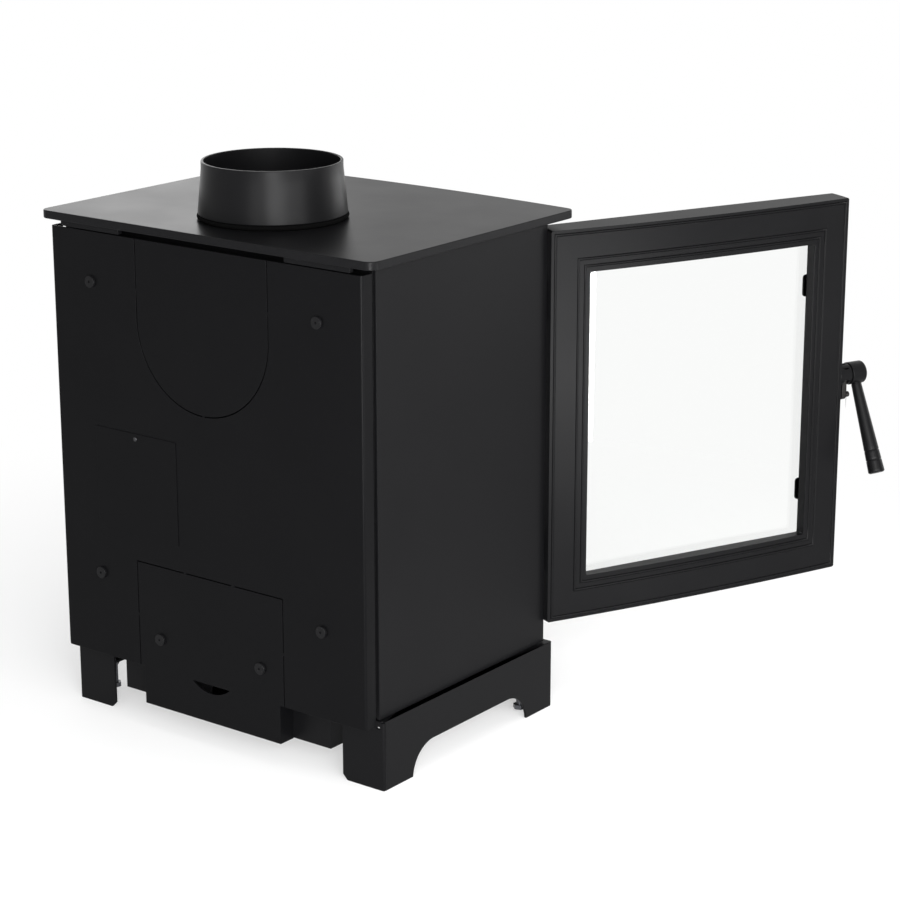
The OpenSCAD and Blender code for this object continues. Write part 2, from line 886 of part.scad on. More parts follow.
// Turns the door's pieces from shut to open
module on_door() {
  translate([hinge_x, hinge_y, 0]) rotate([0, 0, -door_open]) translate([-hinge_x, -hinge_y, 0]) children();
}

// Prism of the door's outline, set in from its face edge, for Y from y to y + t
module door_prism(inset, y, t, r) {
  translate([0, 0, door_cz]) wall(y + t, t) round_rect(door_w - 2 * inset, door_h - 2 * inset, r);
}

// Upright drum whose front is the bowed face, sunk by a depth
module bowed_drum(depth) {
  translate([0, door_bow_y, door_low - 20]) cylinder(r = door_bow_r - depth, h = door_h + 40, $fn = big_fn);
}

// Section of the door: its sides slope outwards from the face to the back
module drafted_2d(half) {
  slope = door_draft / door_t;
  polygon([
    [-half + 20 * slope, door_face - 20], [half - 20 * slope, door_face - 20],
    [half + door_draft, door_back], [-half - door_draft, door_back]
  ]);
}

module door_block() {
  intersection() {
    translate([0, 0, door_low - 10]) linear_extrude(door_h + 20) drafted_2d(door_half);
    side_wall(-far / 2, far) translate([0, door_cz]) rotate(-90) mirror([1, 0]) drafted_2d(door_half_h);
    door_prism(-door_draft, door_face - 20, door_t + 20, door_corner_r);
    bowed_drum(0);
  }
}

// Flat band that follows the bow and the outline: one layer of a bead
module face_band(inset, width, sunk) {
  intersection() {
    difference() {
      door_prism(inset - width / 2, door_face - 20, 46, 2);
      door_prism(inset + width / 2, door_face - 21, 48, 1);
    }
    bowed_drum(sunk);
  }
}

// Raised bead, built up in two layers
module face_bead(inset) {
  face_band(inset, bead_w * 0.86, bead_h / 2);
  face_band(inset, bead_w * 0.3, 0);
}

module door_frame() {
  color(cast) on_door() difference() {
    union() {
      difference() {
        union() {
          intersection() {
            door_block();
            bowed_drum(bead_h);
          }
          for (inset = [bead_a, bead_b, bead_c]) intersection() {
            door_block();
            face_bead(inset);
          }
        }
        for (z = hinge_zs) translate([hinge_x, hinge_y, z - notch_h / 2]) cylinder(r = notch_r, h = notch_h);
      }
      for (z = hinge_zs, s = [notch_h / 2, -notch_h / 2 - knuckle_h])
        translate([hinge_x, hinge_y, z + s]) cylinder(r = knuckle_r, h = knuckle_h);
    }
    door_prism(sight_inset, door_face - 20, door_t + 30, 2);
    door_prism(pocket_inset, door_face + sight_depth, door_t, 4);
    door_prism(land_inset, clip_front, door_t, 5);
    difference() {
      door_prism(rope_inset, door_back - rope_depth, rope_depth + 1, 8);
      door_prism(rope_inset + rope_w, door_back - rope_depth - 1, rope_depth + 3, 4);
    }
    for (z = hinge_zs) translate([hinge_x, hinge_y, z - notch_h / 2 - knuckle_h + 1.5])
      cylinder(r = hinge_pin_r + hinge_play, h = notch_h + 2 * knuckle_h - 3);
    for (sx = [-1, 1], sz = [-1, 1])
      rod_y(sx * clip_screw_x, clip_front - clip_screw_len - 0.5, door_cz + sz * clip_dz, 2.1, clip_screw_len + 5);
    rod_x(boss_x[0], handle_y, handle_z, boss_d / 2, 10);
    rod_x(spindle_hole_x, handle_y, handle_z, spindle_r + spindle_play, 20);
  }
}

module door_glass() {
  color(clear_glass) on_door() door_prism(glass_inset, glass_front, glass_t, 3);
}

module glass_tape() {
  color(rope_grey) on_door() difference() {
    door_prism(glass_inset, door_face + sight_depth, tape_t, 3);
    door_prism(glass_inset + 8, door_face + sight_depth - 1, tape_t + 2, 2);
  }
}

module glass_clips() {
  color(black) on_door() for (sx = [-1, 1], sz = [-1, 1]) scale([sx, 1, 1]) difference() {
    block([door_half - sight_inset - clip_reach, door_half - land_inset - 0.5], [clip_front, clip_front + clip_t],
          [door_cz + sz * clip_dz - clip_h / 2, door_cz + sz * clip_dz + clip_h / 2]);
    rod_y(clip_screw_x, clip_front - 1, door_cz + sz * clip_dz, 2.1, clip_t + 2);
  }
}

module clip_screws() {
  color(steel) on_door() for (sx = [-1, 1], sz = [-1, 1]) {
    rod_y(sx * clip_screw_x, clip_front - clip_screw_len, door_cz + sz * clip_dz, 2, clip_screw_len + clip_t + eps);
    rod_y(sx * clip_screw_x, clip_front + clip_t, door_cz + sz * clip_dz, 3.4, 2.4);
  }
}

module door_rope() {
  color(rope_grey) on_door() difference() {
    door_prism(rope_inset + 0.2, door_back - rope_depth, rope_depth + rope_proud, 7.8);
    door_prism(rope_inset + rope_w - 0.2, door_back - rope_depth - 1, rope_depth + rope_proud + 2, 4.2);
  }
}

// ---- Handle ----

// Turns the handle's pieces to the hanging lever's tilt, about the handle's own axis
module on_handle() {
  translate([0, handle_y, handle_z]) rotate([-lever_tilt, 0, 0]) translate([0, -handle_y, -handle_z]) children();
}

module handle_boss() {
  color(cast) on_door() difference() {
    rod_x(boss_x[0], handle_y, handle_z, boss_d / 2, boss_x[1] - boss_x[0]);
    rod_x(boss_x[0] - 1, handle_y, handle_z, spindle_r + spindle_play, 30);
    difference() {
      rod_x(cam_x[0] - cam_slot_play, handle_y, handle_z, boss_d, cam_x[1] - cam_x[0] + 2 * cam_slot_play);
      block([cam_x[0] - 2, cam_x[1] + 2], [handle_y - 2 * boss_d, handle_y - 9], [handle_z - 5, handle_z + boss_d]);
      block([cam_x[0] - 2, cam_x[1] + 2], [handle_y - 2 * boss_d, handle_y - 2], [handle_z + 9, handle_z + boss_d]);
    }
  }
}

module handle_washer() {
  color(steel) on_door() difference() {
    rod_x(washer_x[0], handle_y, handle_z, 10, washer_x[1] - washer_x[0]);
    rod_x(washer_x[0] - 1, handle_y, handle_z, spindle_r + 0.3, 4);
  }
}

module handle_spindle() {
  color(steel) on_door() difference() {
    rod_x(spindle_x[0], handle_y, handle_z, spindle_r, spindle_x[1] - spindle_x[0]);
    rod_x(end_screw_x, handle_y, handle_z, end_screw_r, far);
  }
}

module handle_hub() {
  color(cast) on_door() on_handle() difference() {
    rod_x(hub_x[0], handle_y, handle_z, hub_d / 2, hub_x[1] - hub_x[0]);
    rod_x(hub_x[0] - 1, handle_y, handle_z, spindle_r, spindle_x[1] - hub_x[0] + 1);
    translate([lever_x, handle_y, handle_z - hub_d]) cylinder(r = spigot_r, h = hub_d);
    rod_x(spindle_x[1] - 1, handle_y, handle_z, end_screw_r + 0.1, 10);
    rod_x(hub_x[1] - end_head_h, handle_y, handle_z, end_head_r + 0.2, 10);
  }
}

module hub_screw() {
  color("#141414") on_door() difference() {
    union() {
      rod_x(end_screw_x, handle_y, handle_z, end_screw_r, hub_x[1] - end_screw_x - end_head_h + eps);
      rod_x(hub_x[1] - end_head_h, handle_y, handle_z, end_head_r, end_head_h - 0.2);
    }
    translate([hub_x[1] - 2, handle_y, handle_z]) rotate([0, 90, 0]) cylinder(d = 3 / cos(30), h = 4, $fn = 6);
  }
}

// Radius of the lever at a distance from the turning axis
function lever_r(s) = lever_top_r + (lever_end_r - lever_top_r) * (s - hub_d / 2) / (lever_len - hub_d / 2);

module handle_lever() {
  groove = 0.7;
  start = hub_d / 2 + 0.1;
  color(cast) on_door() on_handle() translate([lever_x, handle_y, handle_z]) rotate([180, 0, 0]) {
    translate([0, 0, spindle_r + 0.5]) cylinder(r = spigot_r, h = start - spindle_r - 0.5 + eps);
    rotate_extrude() polygon(concat(
      [[0, start], [lever_top_r, start]],
      [for (g = groove_at) each [
        [lever_r(g - groove), g - groove], [lever_r(g) - groove, g], [lever_r(g + groove), g + groove]
      ]],
      [[lever_end_r, lever_len - 1.5], [lever_end_r - 1.5, lever_len], [0, lever_len]]
    ));
  }
}

// Cam drawn in the plane across the handle's axis: y backwards, z up, both from the axis
module cam_2d() {
  circle(cam_hub_r);
  difference() {
    polygon([
      [tail_front, 0], [tail_front, tail_low + 4], [tail_front + 2, tail_low + 1], [tail_back, tail_low - 2],
      [tail_back, 0]
    ]);
    circle(spindle_r);
  }
  rotate(atan2(hook[1], hook[0])) translate([0, -hook_r]) square([norm(hook), 2 * hook_r]);
  translate(hook) circle(hook_r);
}

module latch_cam() {
  color(cast) on_door() {
    translate([0, handle_y, handle_z]) side_wall(cam_x[0], cam_x[1] - cam_x[0]) difference() {
      cam_2d();
      circle(spindle_r);
    }
    rod_x(cam_x[1] - eps, handle_y + tail_front + nub_r, handle_z + tail_low + 6, nub_r, nub_len);
  }
}

plinth_left();
plinth_right();
plinth_front();
plinth_bolts();
levelling_bolt_front_left();
levelling_bolt_front_right();
levelling_bolt_rear_left();
levelling_bolt_rear_right();
base_plate();
side_panel_left();
side_panel_right();
back_panel();
front_frame();
ash_shelf();
grate_shelf();
top_plate();
flue_seal();
flue_collar();
collar_bolts();
outlet_blank();
outlet_blank_bolts();
air_box();
rear_shield();
shield_spacers();
shield_screws();
cover_screws();
shield_tabs();
data_plate();
data_plate_rivet();
brick_left();
brick_right();
brick_rear();
baffle();
grate();
log_guard();
airwash_plate();
air_rails();
air_slider();
air_knob();
ash_pan();
ash_pan_pull();
hinge_brackets();
hinge_pins();
door_keeper();
door_frame();
door_glass();
glass_tape();
glass_clips();
clip_screws();
door_rope();
handle_boss();
handle_washer();
handle_spindle();
handle_hub();
hub_screw();
handle_lever();
latch_cam();
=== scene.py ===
"""Dresses a box-shaped wood-burning stove: rounded edges, folded bends, fasteners, seals and finishes.

Metres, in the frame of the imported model: the origin is on the hearth under the flue, the front faces -Y and
left is -X. The pieces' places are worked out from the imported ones.
"""

import json
import logging
import math
from dataclasses import dataclass
from enum import Enum
from typing import Any, Sequence

import bmesh
import bpy
from mathutils import Matrix, Vector


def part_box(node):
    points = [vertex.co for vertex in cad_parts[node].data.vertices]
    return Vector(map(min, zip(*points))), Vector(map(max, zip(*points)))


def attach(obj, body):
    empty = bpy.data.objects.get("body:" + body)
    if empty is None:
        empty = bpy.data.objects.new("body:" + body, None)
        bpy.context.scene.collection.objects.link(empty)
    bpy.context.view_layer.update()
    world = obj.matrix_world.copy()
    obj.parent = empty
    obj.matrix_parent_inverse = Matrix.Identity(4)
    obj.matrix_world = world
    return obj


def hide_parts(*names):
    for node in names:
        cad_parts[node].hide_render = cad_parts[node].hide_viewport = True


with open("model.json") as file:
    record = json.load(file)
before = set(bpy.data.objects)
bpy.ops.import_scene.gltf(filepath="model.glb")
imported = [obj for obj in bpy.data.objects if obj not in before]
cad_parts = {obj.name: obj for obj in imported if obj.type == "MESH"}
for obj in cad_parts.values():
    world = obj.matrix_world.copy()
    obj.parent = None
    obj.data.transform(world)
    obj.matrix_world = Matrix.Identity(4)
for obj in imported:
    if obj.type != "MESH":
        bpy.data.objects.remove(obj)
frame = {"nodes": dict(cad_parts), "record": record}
log = logging.getLogger("stove")
MM = 0.001

# More degrees than the turn between two faces of a round boss or hole, and fewer than at a real edge.
FACETED = 50


# ---- Nodes and colours ----

def linear(hex_colour: str) -> tuple[float, float, float, float]:
    """Turns an sRGB colour into the linear one that shaders use.

    Args:
        hex_colour: The colour as "#rrggbb".

    Returns:
        Red, green, blue and an alpha of 1.
    """
    parts = [int(hex_colour[i:i + 2], 16) / 255 for i in (1, 3, 5)]
    curve = [c / 12.92 if c <= 0.04045 else ((c + 0.055) / 1.055) ** 2.4 for c in parts]
    return (curve[0], curve[1], curve[2], 1.0)


def add_node(tree: bpy.types.NodeTree, kind: str, settings: dict[Any, Any] | None = None,
             links: dict[Any, bpy.types.NodeSocket] | None = None) -> bpy.types.Node:
    """Adds a node with its settings and its links.

    Args:
        tree: The tree that gets the node.
        kind: The node's type, such as "ShaderNodeBump".
        settings: Values by input name or number, or by attribute name.
        links: Output sockets by the input name or number that they feed.

    Returns:
        The new node.
    """
    node = tree.nodes.new(kind)
    sockets = []
    for key, value in (settings or {}).items():
        if isinstance(key, str) and hasattr(node, key):
            setattr(node, key, value)
        else:
            sockets.append((key, value))
    for key, value in sockets:
        node.inputs[key].default_value = value
    for key, source in (links or {}).items():
        tree.links.new(source, node.inputs[key])
    return node


def new_shader(name: str) -> tuple[bpy.types.Material, bpy.types.NodeTree, bpy.types.NodeSocket]:
    """Makes an empty node material.

    Args:
        name: The material's name.

    Returns:
        The material, its node tree and the Object coordinates of the piece that wears it.
    """
    material = bpy.data.materials.new(name)
    material.use_nodes = True
    tree = material.node_tree
    tree.nodes.clear()
    return material, tree, add_node(tree, "ShaderNodeTexCoord").outputs["Object"]


def noise(tree: bpy.types.NodeTree, place: bpy.types.NodeSocket, size: float,
          detail: float = 3.0) -> bpy.types.NodeSocket:
    """Adds noise whose blotches have a real size.

    Args:
        tree: The material's tree.
        place: The coordinates, in metres.
        size: The blotches' size in metres.
        detail: How many finer layers lie on top.

    Returns:
        The noise's value.
    """
    settings = {"Scale": 1 / size, "Detail": detail}
    return add_node(tree, "ShaderNodeTexNoise", settings, {"Vector": place}).outputs[0]


def cells(tree: bpy.types.NodeTree, place: bpy.types.NodeSocket, size: float) -> bpy.types.Node:
    """Adds cells, such as crystals or flakes, that have a real size.

    Args:
        tree: The material's tree.
        place: The coordinates, in metres.
        size: The cells' size in metres.

    Returns:
        The node, with the distance from each cell's middle and a colour of its own.
    """
    return add_node(tree, "ShaderNodeTexVoronoi", {"Scale": 1 / size}, {"Vector": place})


def blend(tree: bpy.types.NodeTree, share: bpy.types.NodeSocket, first: str | bpy.types.NodeSocket,
          second: str) -> bpy.types.NodeSocket:
    """Adds a blend of two colours.

    Args:
        tree: The material's tree.
        share: How much there is of the second colour, from 0 to 1.
        first: The first colour, as "#rrggbb" or from another node.
        second: The second colour, as "#rrggbb".

    Returns:
        The blended colour.
    """
    first_in, second_in, colour_out = 6, 7, 2
    settings = {"data_type": "RGBA", second_in: linear(second)}
    links = {0: share}
    if isinstance(first, str):
        settings[first_in] = linear(first)
    else:
        links[first_in] = first
    return add_node(tree, "ShaderNodeMix", settings, links).outputs[colour_out]


def ranged(tree: bpy.types.NodeTree, value: bpy.types.NodeSocket, given: tuple[float, float] = (0.0, 1.0),
           wanted: tuple[float, float] = (0.0, 1.0), course: str = "LINEAR") -> bpy.types.NodeSocket:
    """Adds a value that goes from one end to the other as a given value does.

    Args:
        tree: The material's tree.
        value: The given value.
        given: The two ends of the given value's range.
        wanted: The new value at those ends.
        course: The node's own name for the way between them.

    Returns:
        The new value.
    """
    settings = {"interpolation_type": course, "From Min": given[0], "From Max": given[1],
                "To Min": wanted[0], "To Max": wanted[1]}
    return add_node(tree, "ShaderNodeMapRange", settings, {"Value": value}).outputs[0]


def relief(tree: bpy.types.NodeTree, depth: float, height: bpy.types.NodeSocket,
           over: bpy.types.NodeSocket | None = None) -> bpy.types.NodeSocket:
    """Adds a fine relief to a surface.

    Args:
        tree: The material's tree.
        depth: The relief's depth in metres.
        height: The value that shapes it.
        over: The normal of a coarser relief that it lies on.

    Returns:
        The normal.
    """
    links = {"Height": height}
    if over is not None:
        links["Normal"] = over
    return add_node(tree, "ShaderNodeBump", {"Distance": depth}, links).outputs[0]


def surface(tree: bpy.types.NodeTree, settings: dict[str, Any],
            links: dict[str, bpy.types.NodeSocket]) -> None:
    """Adds the shader that a finish ends in.

    Args:
        tree: The material's tree.
        settings: The shader's values by input name.
        links: Output sockets by the input name that they feed.
    """
    shader = add_node(tree, "ShaderNodeBsdfPrincipled", settings, links)
    add_node(tree, "ShaderNodeOutputMaterial", None, {"Surface": shader.outputs[0]})


# ---- Finishes ----

@dataclass(frozen=True)
class StovePaint:
    """Heat-resistant silicone paint, sprayed on and stoved: deep black, nearly matt, with a faint peel.

    The metal's own grain shows through it: almost none on rolled sheet, and fine sand on a casting. The
    grain is drawn coarser than the real one, so that it shows in a picture of the whole stove. Black oxide
    and plain rolled sheet shade in the same way, so they share it.
    """

    name: str
    colour: str
    dusty: str
    roughness: float
    gloss: float
    grain: float
    grain_depth: float

    def material(self) -> bpy.types.Material:
        """Builds the paint as a material.

        Returns:
            The material.
        """
        patch_size = 90 * MM
        most_of_cloud = (0.3, 0.7)
        spread = 0.02
        peel_size, peel_depth, peel_detail = 6 * MM, 0.012 * MM, 1.0
        material, tree, place = new_shader(self.name)
        cloud = noise(tree, place, patch_size)
        shade = blend(tree, cloud, self.colour, self.dusty)
        rough = ranged(tree, cloud, most_of_cloud, (self.roughness - spread, self.roughness + spread))
        peel = relief(tree, peel_depth, noise(tree, place, peel_size, peel_detail))
        sand = relief(tree, self.grain_depth, noise(tree, place, self.grain), over=peel)
        surface(tree, {"Specular IOR Level": self.gloss},
                {"Base Color": shade, "Roughness": rough, "Normal": sand})
        return material


@dataclass(frozen=True)
class Metal:
    """Bare or plated metal: bright, with the fine mottle of its crystals or its casting skin."""

    name: str
    colour: str
    dull: str
    roughness: float
    spangle: float
    depth: float

    def material(self) -> bpy.types.Material:
        """Builds the metal as a material.

        Returns:
            The material.
        """
        spread = 0.08
        patch_size = 4 * self.spangle
        material, tree, place = new_shader(self.name)
        crystals = cells(tree, place, self.spangle)
        shade = blend(tree, crystals.outputs["Distance"], self.colour, self.dull)
        rough = ranged(tree, noise(tree, place, patch_size),
                       wanted=(self.roughness - spread, self.roughness + spread))
        skin = relief(tree, self.depth, noise(tree, place, self.spangle))
        surface(tree, {"Metallic": 1.0}, {"Base Color": shade, "Roughness": rough, "Normal": skin})
        return material


@dataclass(frozen=True)
class FireBoard:
    """Pressed vermiculite fire board: buff, soft and full of flat golden flakes a few millimetres across."""

    name: str = "pressed vermiculite board"
    colour: str = "#b49a6c"
    flake: str = "#cdb888"
    pit: str = "#a38c62"
    flake_size: float = 3 * MM
    flake_depth: float = 0.35 * MM
    flake_edge: tuple[float, float] = (0.35, 0.75)
    roughness: float = 0.85
    gloss: float = 0.3

    def material(self) -> bpy.types.Material:
        """Builds the board as a material.

        Returns:
            The material.
        """
        material, tree, place = new_shader(self.name)
        flakes = cells(tree, place, self.flake_size)
        own = add_node(tree, "ShaderNodeSeparateColor", None, {"Color": flakes.outputs["Color"]})
        tints = blend(tree, own.outputs[0], self.colour, self.flake)
        gaps = ranged(tree, flakes.outputs["Distance"], self.flake_edge)
        shade = blend(tree, gaps, tints, self.pit)
        steps = relief(tree, self.flake_depth, own.outputs[1])
        surface(tree, {"Roughness": self.roughness, "Specular IOR Level": self.gloss},
                {"Base Color": shade, "Normal": steps})
        return material


@dataclass(frozen=True)
class GlassFibre:
    """Knitted glass-fibre rope or tape, dyed black: dull, with a soft nap on its yarns."""

    name: str = "knitted black glass fibre"
    colour: str = "#030303"
    worn: str = "#0a0a0a"
    yarn: float = 1.4 * MM
    yarn_depth: float = 0.25 * MM
    roughness: float = 0.95
    gloss: float = 0.02

    def material(self) -> bpy.types.Material:
        """Builds the fibre as a material.

        Returns:
            The material.
        """
        material, tree, place = new_shader(self.name)
        yarns = noise(tree, place, self.yarn, detail=2.0)
        shade = blend(tree, yarns, self.colour, self.worn)
        nap = relief(tree, self.yarn_depth, yarns)
        surface(tree, {"Roughness": self.roughness, "Specular IOR Level": self.gloss},
                {"Base Color": shade, "Normal": nap})
        return material


@dataclass(frozen=True)
class StoveGlass:
    """Clear glass ceramic, 4 mm: almost colourless, drawn flat, with the slightest ripple."""

    name: str = "clear glass ceramic"
    colour: str = "#f9faf9"
    ripple: float = 160 * MM
    ripple_depth: float = 0.02 * MM
    refraction: float = 1.54

    def material(self) -> bpy.types.Material:
        """Builds the glass as a material.

        Returns:
            The material.
        """
        material, tree, place = new_shader(self.name)
        ripples = relief(tree, self.ripple_depth, noise(tree, place, self.ripple, detail=0.0))
        surface(tree, {"Base Color": linear(self.colour), "Roughness": 0.0, "IOR": self.refraction,
                       "Transmission Weight": 1.0}, {"Normal": ripples})
        return material


class Finish(Enum):
    """The stove's finishes, each with the record's slot that it belongs to."""

    SHEET = ("painted_sheet", StovePaint(
        "stove paint on folded sheet", "#0a0a0b", "#0d0d0e",
        roughness=0.36, gloss=0.055, grain=3 * MM, grain_depth=0.004 * MM))
    PLATE = ("painted_plate", StovePaint(
        "satin stove paint on flat plate", "#0d0d0e", "#101011",
        roughness=0.31, gloss=0.058, grain=3 * MM, grain_depth=0.003 * MM))
    CAST = ("painted_cast", StovePaint(
        "stove paint on fine sand casting", "#0a0a0b", "#0e0e0f",
        roughness=0.33, gloss=0.08, grain=1.6 * MM, grain_depth=0.02 * MM))
    SHIELD = ("shield_sheet", StovePaint(
        "stove paint on thin shield sheet", "#080809", "#0a0a0b",
        roughness=0.33, gloss=0.042, grain=3 * MM, grain_depth=0.004 * MM))
    PAN = ("pan_sheet", StovePaint(
        "plain grey steel sheet", "#3a3b3d", "#454648",
        roughness=0.42, gloss=0.5, grain=3 * MM, grain_depth=0.004 * MM))
    BLACK_SCREW = ("black_screw", StovePaint(
        "black oxide on a steel screw", "#0c0c0d", "#101011",
        roughness=0.36, gloss=0.09, grain=1.2 * MM, grain_depth=0.004 * MM))
    BARE_CAST = ("bare_cast", Metal(
        "unpainted grey cast iron", "#3a3938", "#2b2a29",
        roughness=0.55, spangle=1.5 * MM, depth=0.06 * MM))
    ZINC = ("zinc", Metal(
        "dull zinc plating on steel", "#55565a", "#434448",
        roughness=0.40, spangle=1.2 * MM, depth=0.008 * MM))
    RIVET = ("rivet", Metal(
        "darkened bright steel", "#4a4a4c", "#38383a",
        roughness=0.30, spangle=1.2 * MM, depth=0.004 * MM))
    BRICK = ("firebrick", FireBoard())
    ROPE = ("rope", GlassFibre())
    GLASS = ("stove_glass", StoveGlass())

    @property
    def slot(self) -> str:
        """The record's material slot."""
        return self.value[0]

    @property
    def material(self) -> bpy.types.Material:
        """The material, built the first time that it is asked for."""
        return bpy.data.materials.get(self.value[1].name) or self.value[1].material()


FINISHES = {finish.slot: finish for finish in Finish}


# ---- The record's words on each piece ----

def finish_of(node: str) -> Finish:
    """The finish that the record gives a node.

    Args:
        node: The node's name.

    Returns:
        The finish.
    """
    slots = {part["node"]: part["material_slot"] for part in frame["record"]["subparts"]}
    return FINISHES[slots[node]]


def body_of(node: str) -> str:
    """The body that a node rides on.

    Args:
        node: The node's name.

    Returns:
        The body's name.
    """
    bodies = frame["record"]["behaviour"]["bodies"]
    return next(name for name, nodes in bodies.items() if node in nodes)


# ---- Mesh work ----

def merged(node: str, joined: bool = True) -> bmesh.types.BMesh:
    """Copies a node's mesh, with its triangles joined into clean faces.

    Args:
        node: The node's name.
        joined: False keeps the triangles, for faces with holes and deep notches.

    Returns:
        The copy.
    """
    join_within = 2e-6
    mesh = bmesh.new()
    mesh.from_mesh(frame["nodes"][node].data)
    bmesh.ops.remove_doubles(mesh, verts=mesh.verts, dist=join_within)
    if joined:
        join_flat(mesh)
    return mesh


def join_flat(mesh: bmesh.types.BMesh) -> None:
    """Joins the faces that lie in one plane.

    Args:
        mesh: The mesh, which is changed.
    """
    flat_within = math.radians(0.05)
    bmesh.ops.dissolve_limit(mesh, angle_limit=flat_within, use_dissolve_boundaries=False, verts=mesh.verts,
                             edges=mesh.edges)


@dataclass(frozen=True)
class Bend:
    """A fold in sheet metal: the edges that lie in two planes at once.

    Each plane is an axis number and a place on that axis, in metres.
    """

    first: tuple[int, float]
    second: tuple[int, float]
    radius: float

    def holds(self, edge: bmesh.types.BMEdge) -> bool:
        """Tells whether an edge lies on the fold.

        Args:
            edge: The edge.

        Returns:
            True where both of its ends lie in both planes.
        """
        near = 0.05 * MM
        planes = (self.first, self.second)
        return all(abs(vert.co[axis] - place) < near for vert in edge.verts for axis, place in planes)


def bevel(mesh: bmesh.types.BMesh, edges: Sequence[bmesh.types.BMEdge], radius: float,
          segments: int) -> None:
    """Rounds edges.

    Args:
        mesh: The mesh, which is changed.
        edges: The edges to round.
        radius: The round's radius in metres.
        segments: How many strips make the round.
    """
    round_profile = 0.5
    if edges:
        bmesh.ops.bevel(mesh, geom=list(edges), offset=radius, offset_type="OFFSET", segments=segments,
                        profile=round_profile, affect="EDGES", clamp_overlap=False)


def sharp_edges(mesh: bmesh.types.BMesh, degrees: float) -> list[bmesh.types.BMEdge]:
    """Finds the edges whose faces meet at more than an angle.

    Args:
        mesh: The mesh.
        degrees: The angle.

    Returns:
        The edges.
    """
    limit = math.radians(degrees)
    return [edge for edge in mesh.edges if len(edge.link_faces) == 2 and edge.calc_face_angle(0) > limit]


def shaded(mesh: bmesh.types.BMesh, name: str) -> bpy.types.Object:
    """Turns a mesh into a smooth-shaded object whose flat faces and sharp creases stay as they are.

    Args:
        mesh: The mesh, which is freed.
        name: The object's name.

    Returns:
        The object, with plain mesh data.
    """
    crease = 42
    for face in mesh.faces:
        face.smooth = True
    piece = linked(mesh, name)
    piece.data.set_sharp_from_angle(angle=math.radians(crease))
    weights = piece.modifiers.new("flat faces", "WEIGHTED_NORMAL")
    weights.keep_sharp = True
    return plain(piece)


def plain(piece: bpy.types.Object) -> bpy.types.Object:
    """Bakes an object's modifiers into its mesh.

    Args:
        piece: The object, which is changed.

    Returns:
        The same object with no modifiers.
    """
    bpy.context.view_layer.update()
    result = bpy.data.meshes.new_from_object(piece.evaluated_get(bpy.context.evaluated_depsgraph_get()))
    piece.modifiers.clear()
    piece.data = result
    return piece


def linked(mesh: bmesh.types.BMesh, name: str) -> bpy.types.Object:
    """Turns a mesh into an object in the scene.

    Args:
        mesh: The mesh, which is freed.
        name: The object's name.

    Returns:
        The object.
    """
    data = bpy.data.meshes.new(name)
    mesh.to_mesh(data)
    mesh.free()
    piece = bpy.data.objects.new(name, data)
    bpy.context.collection.objects.link(piece)
    return piece


def cut(mesh: bmesh.types.BMesh, cutter: bmesh.types.BMesh, name: str) -> bmesh.types.BMesh:
    """Cuts one solid out of another.

    Args:
        mesh: The solid that is cut. It is freed.
        cutter: The solid that is taken away. It is freed.
        name: A name for both while they are in the scene.

    Returns:
        What is left of the first solid.
    """
    piece, tool = linked(mesh, name + "_solid"), linked(cutter, name + "_cutter")
    difference = piece.modifiers.new("cut", "BOOLEAN")
    difference.operation = "DIFFERENCE"
    difference.solver = "EXACT"
    difference.object = tool
    left = bmesh.new()
    left.from_mesh(plain(piece).data)
    for used in (tool, piece):
        bpy.data.objects.remove(used)
    return left


def ring(mesh: bmesh.types.BMesh, radius: float, height: float, steps: int) -> list[bmesh.types.BMVert]:
    """Adds a level ring of vertices round Z.

    Args:
        mesh: The mesh, which is changed.
        radius: The ring's radius. At 0 it is one vertex, which is listed once for each step.
        height: Its height.
        steps: How many vertices it has.

    Returns:
        The vertices.
    """
    if radius == 0:
        return [mesh.verts.new((0, 0, height))] * steps
    turns = [math.tau * i / steps for i in range(steps)]
    return [mesh.verts.new((radius * math.cos(turn), radius * math.sin(turn), height)) for turn in turns]


def wall(mesh: bmesh.types.BMesh, first: Sequence[bmesh.types.BMVert],
         second: Sequence[bmesh.types.BMVert]) -> None:
    """Adds the faces between two closed rings with as many vertices.

    Args:
        mesh: The mesh, which is changed.
        first: One ring. A vertex that it lists again and again is a point.
        second: The other.
    """
    for i in range(len(first)):
        after = (i + 1) % len(first)
        corners = list(dict.fromkeys([first[i], first[after], second[after], second[i]]))
        if len(corners) > 2:
            mesh.faces.new(corners)


def box_of(places: Sequence[Vector]) -> tuple[Vector, Vector]:
    """Finds the box that holds some places.

    Args:
        places: The places.

    Returns:
        The box's lowest and highest corner.
    """
    return (Vector([min(place[axis] for place in places) for axis in range(3)]),
            Vector([max(place[axis] for place in places) for axis in range(3)]))


def finish_piece(piece: bpy.types.Object, finish: Finish, *nodes: str) -> bpy.types.Object:
    """Gives a piece its material and lets it stand for its nodes.

    Args:
        piece: The piece, in place.
        finish: Its finish.
        nodes: The nodes that it stands for, all on one body.

    Returns:
        The same piece.
    """
    piece.data.materials.clear()
    piece.data.materials.append(finish.material)
    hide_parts(*nodes)
    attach(piece, body_of(nodes[0]))
    log.info("%s: %d faces, stands for %s", piece.name, len(piece.data.polygons), ", ".join(nodes))
    return piece


def softened(mesh: bmesh.types.BMesh, node: str, radius: float, segments: int = 2, degrees: float = 40,
             joined: bool = True) -> bpy.types.Object:
    """Rounds a mesh's edges and makes it the piece that stands for a node.

    Args:
        mesh: The mesh, which is freed.
        node: The node's name.
        radius: The edges' radius in metres.
        segments: How many strips make an edge's round.
        degrees: Edges that turn by less than this stay as they are.
        joined: False joins the flat faces now, after the rounding.

    Returns:
        The piece.
    """
    bevel(mesh, sharp_edges(mesh, degrees), radius, segments)
    if not joined:
        join_flat(mesh)
    return finish_piece(shaded(mesh, node + "_rounded"), finish_of(node), node)


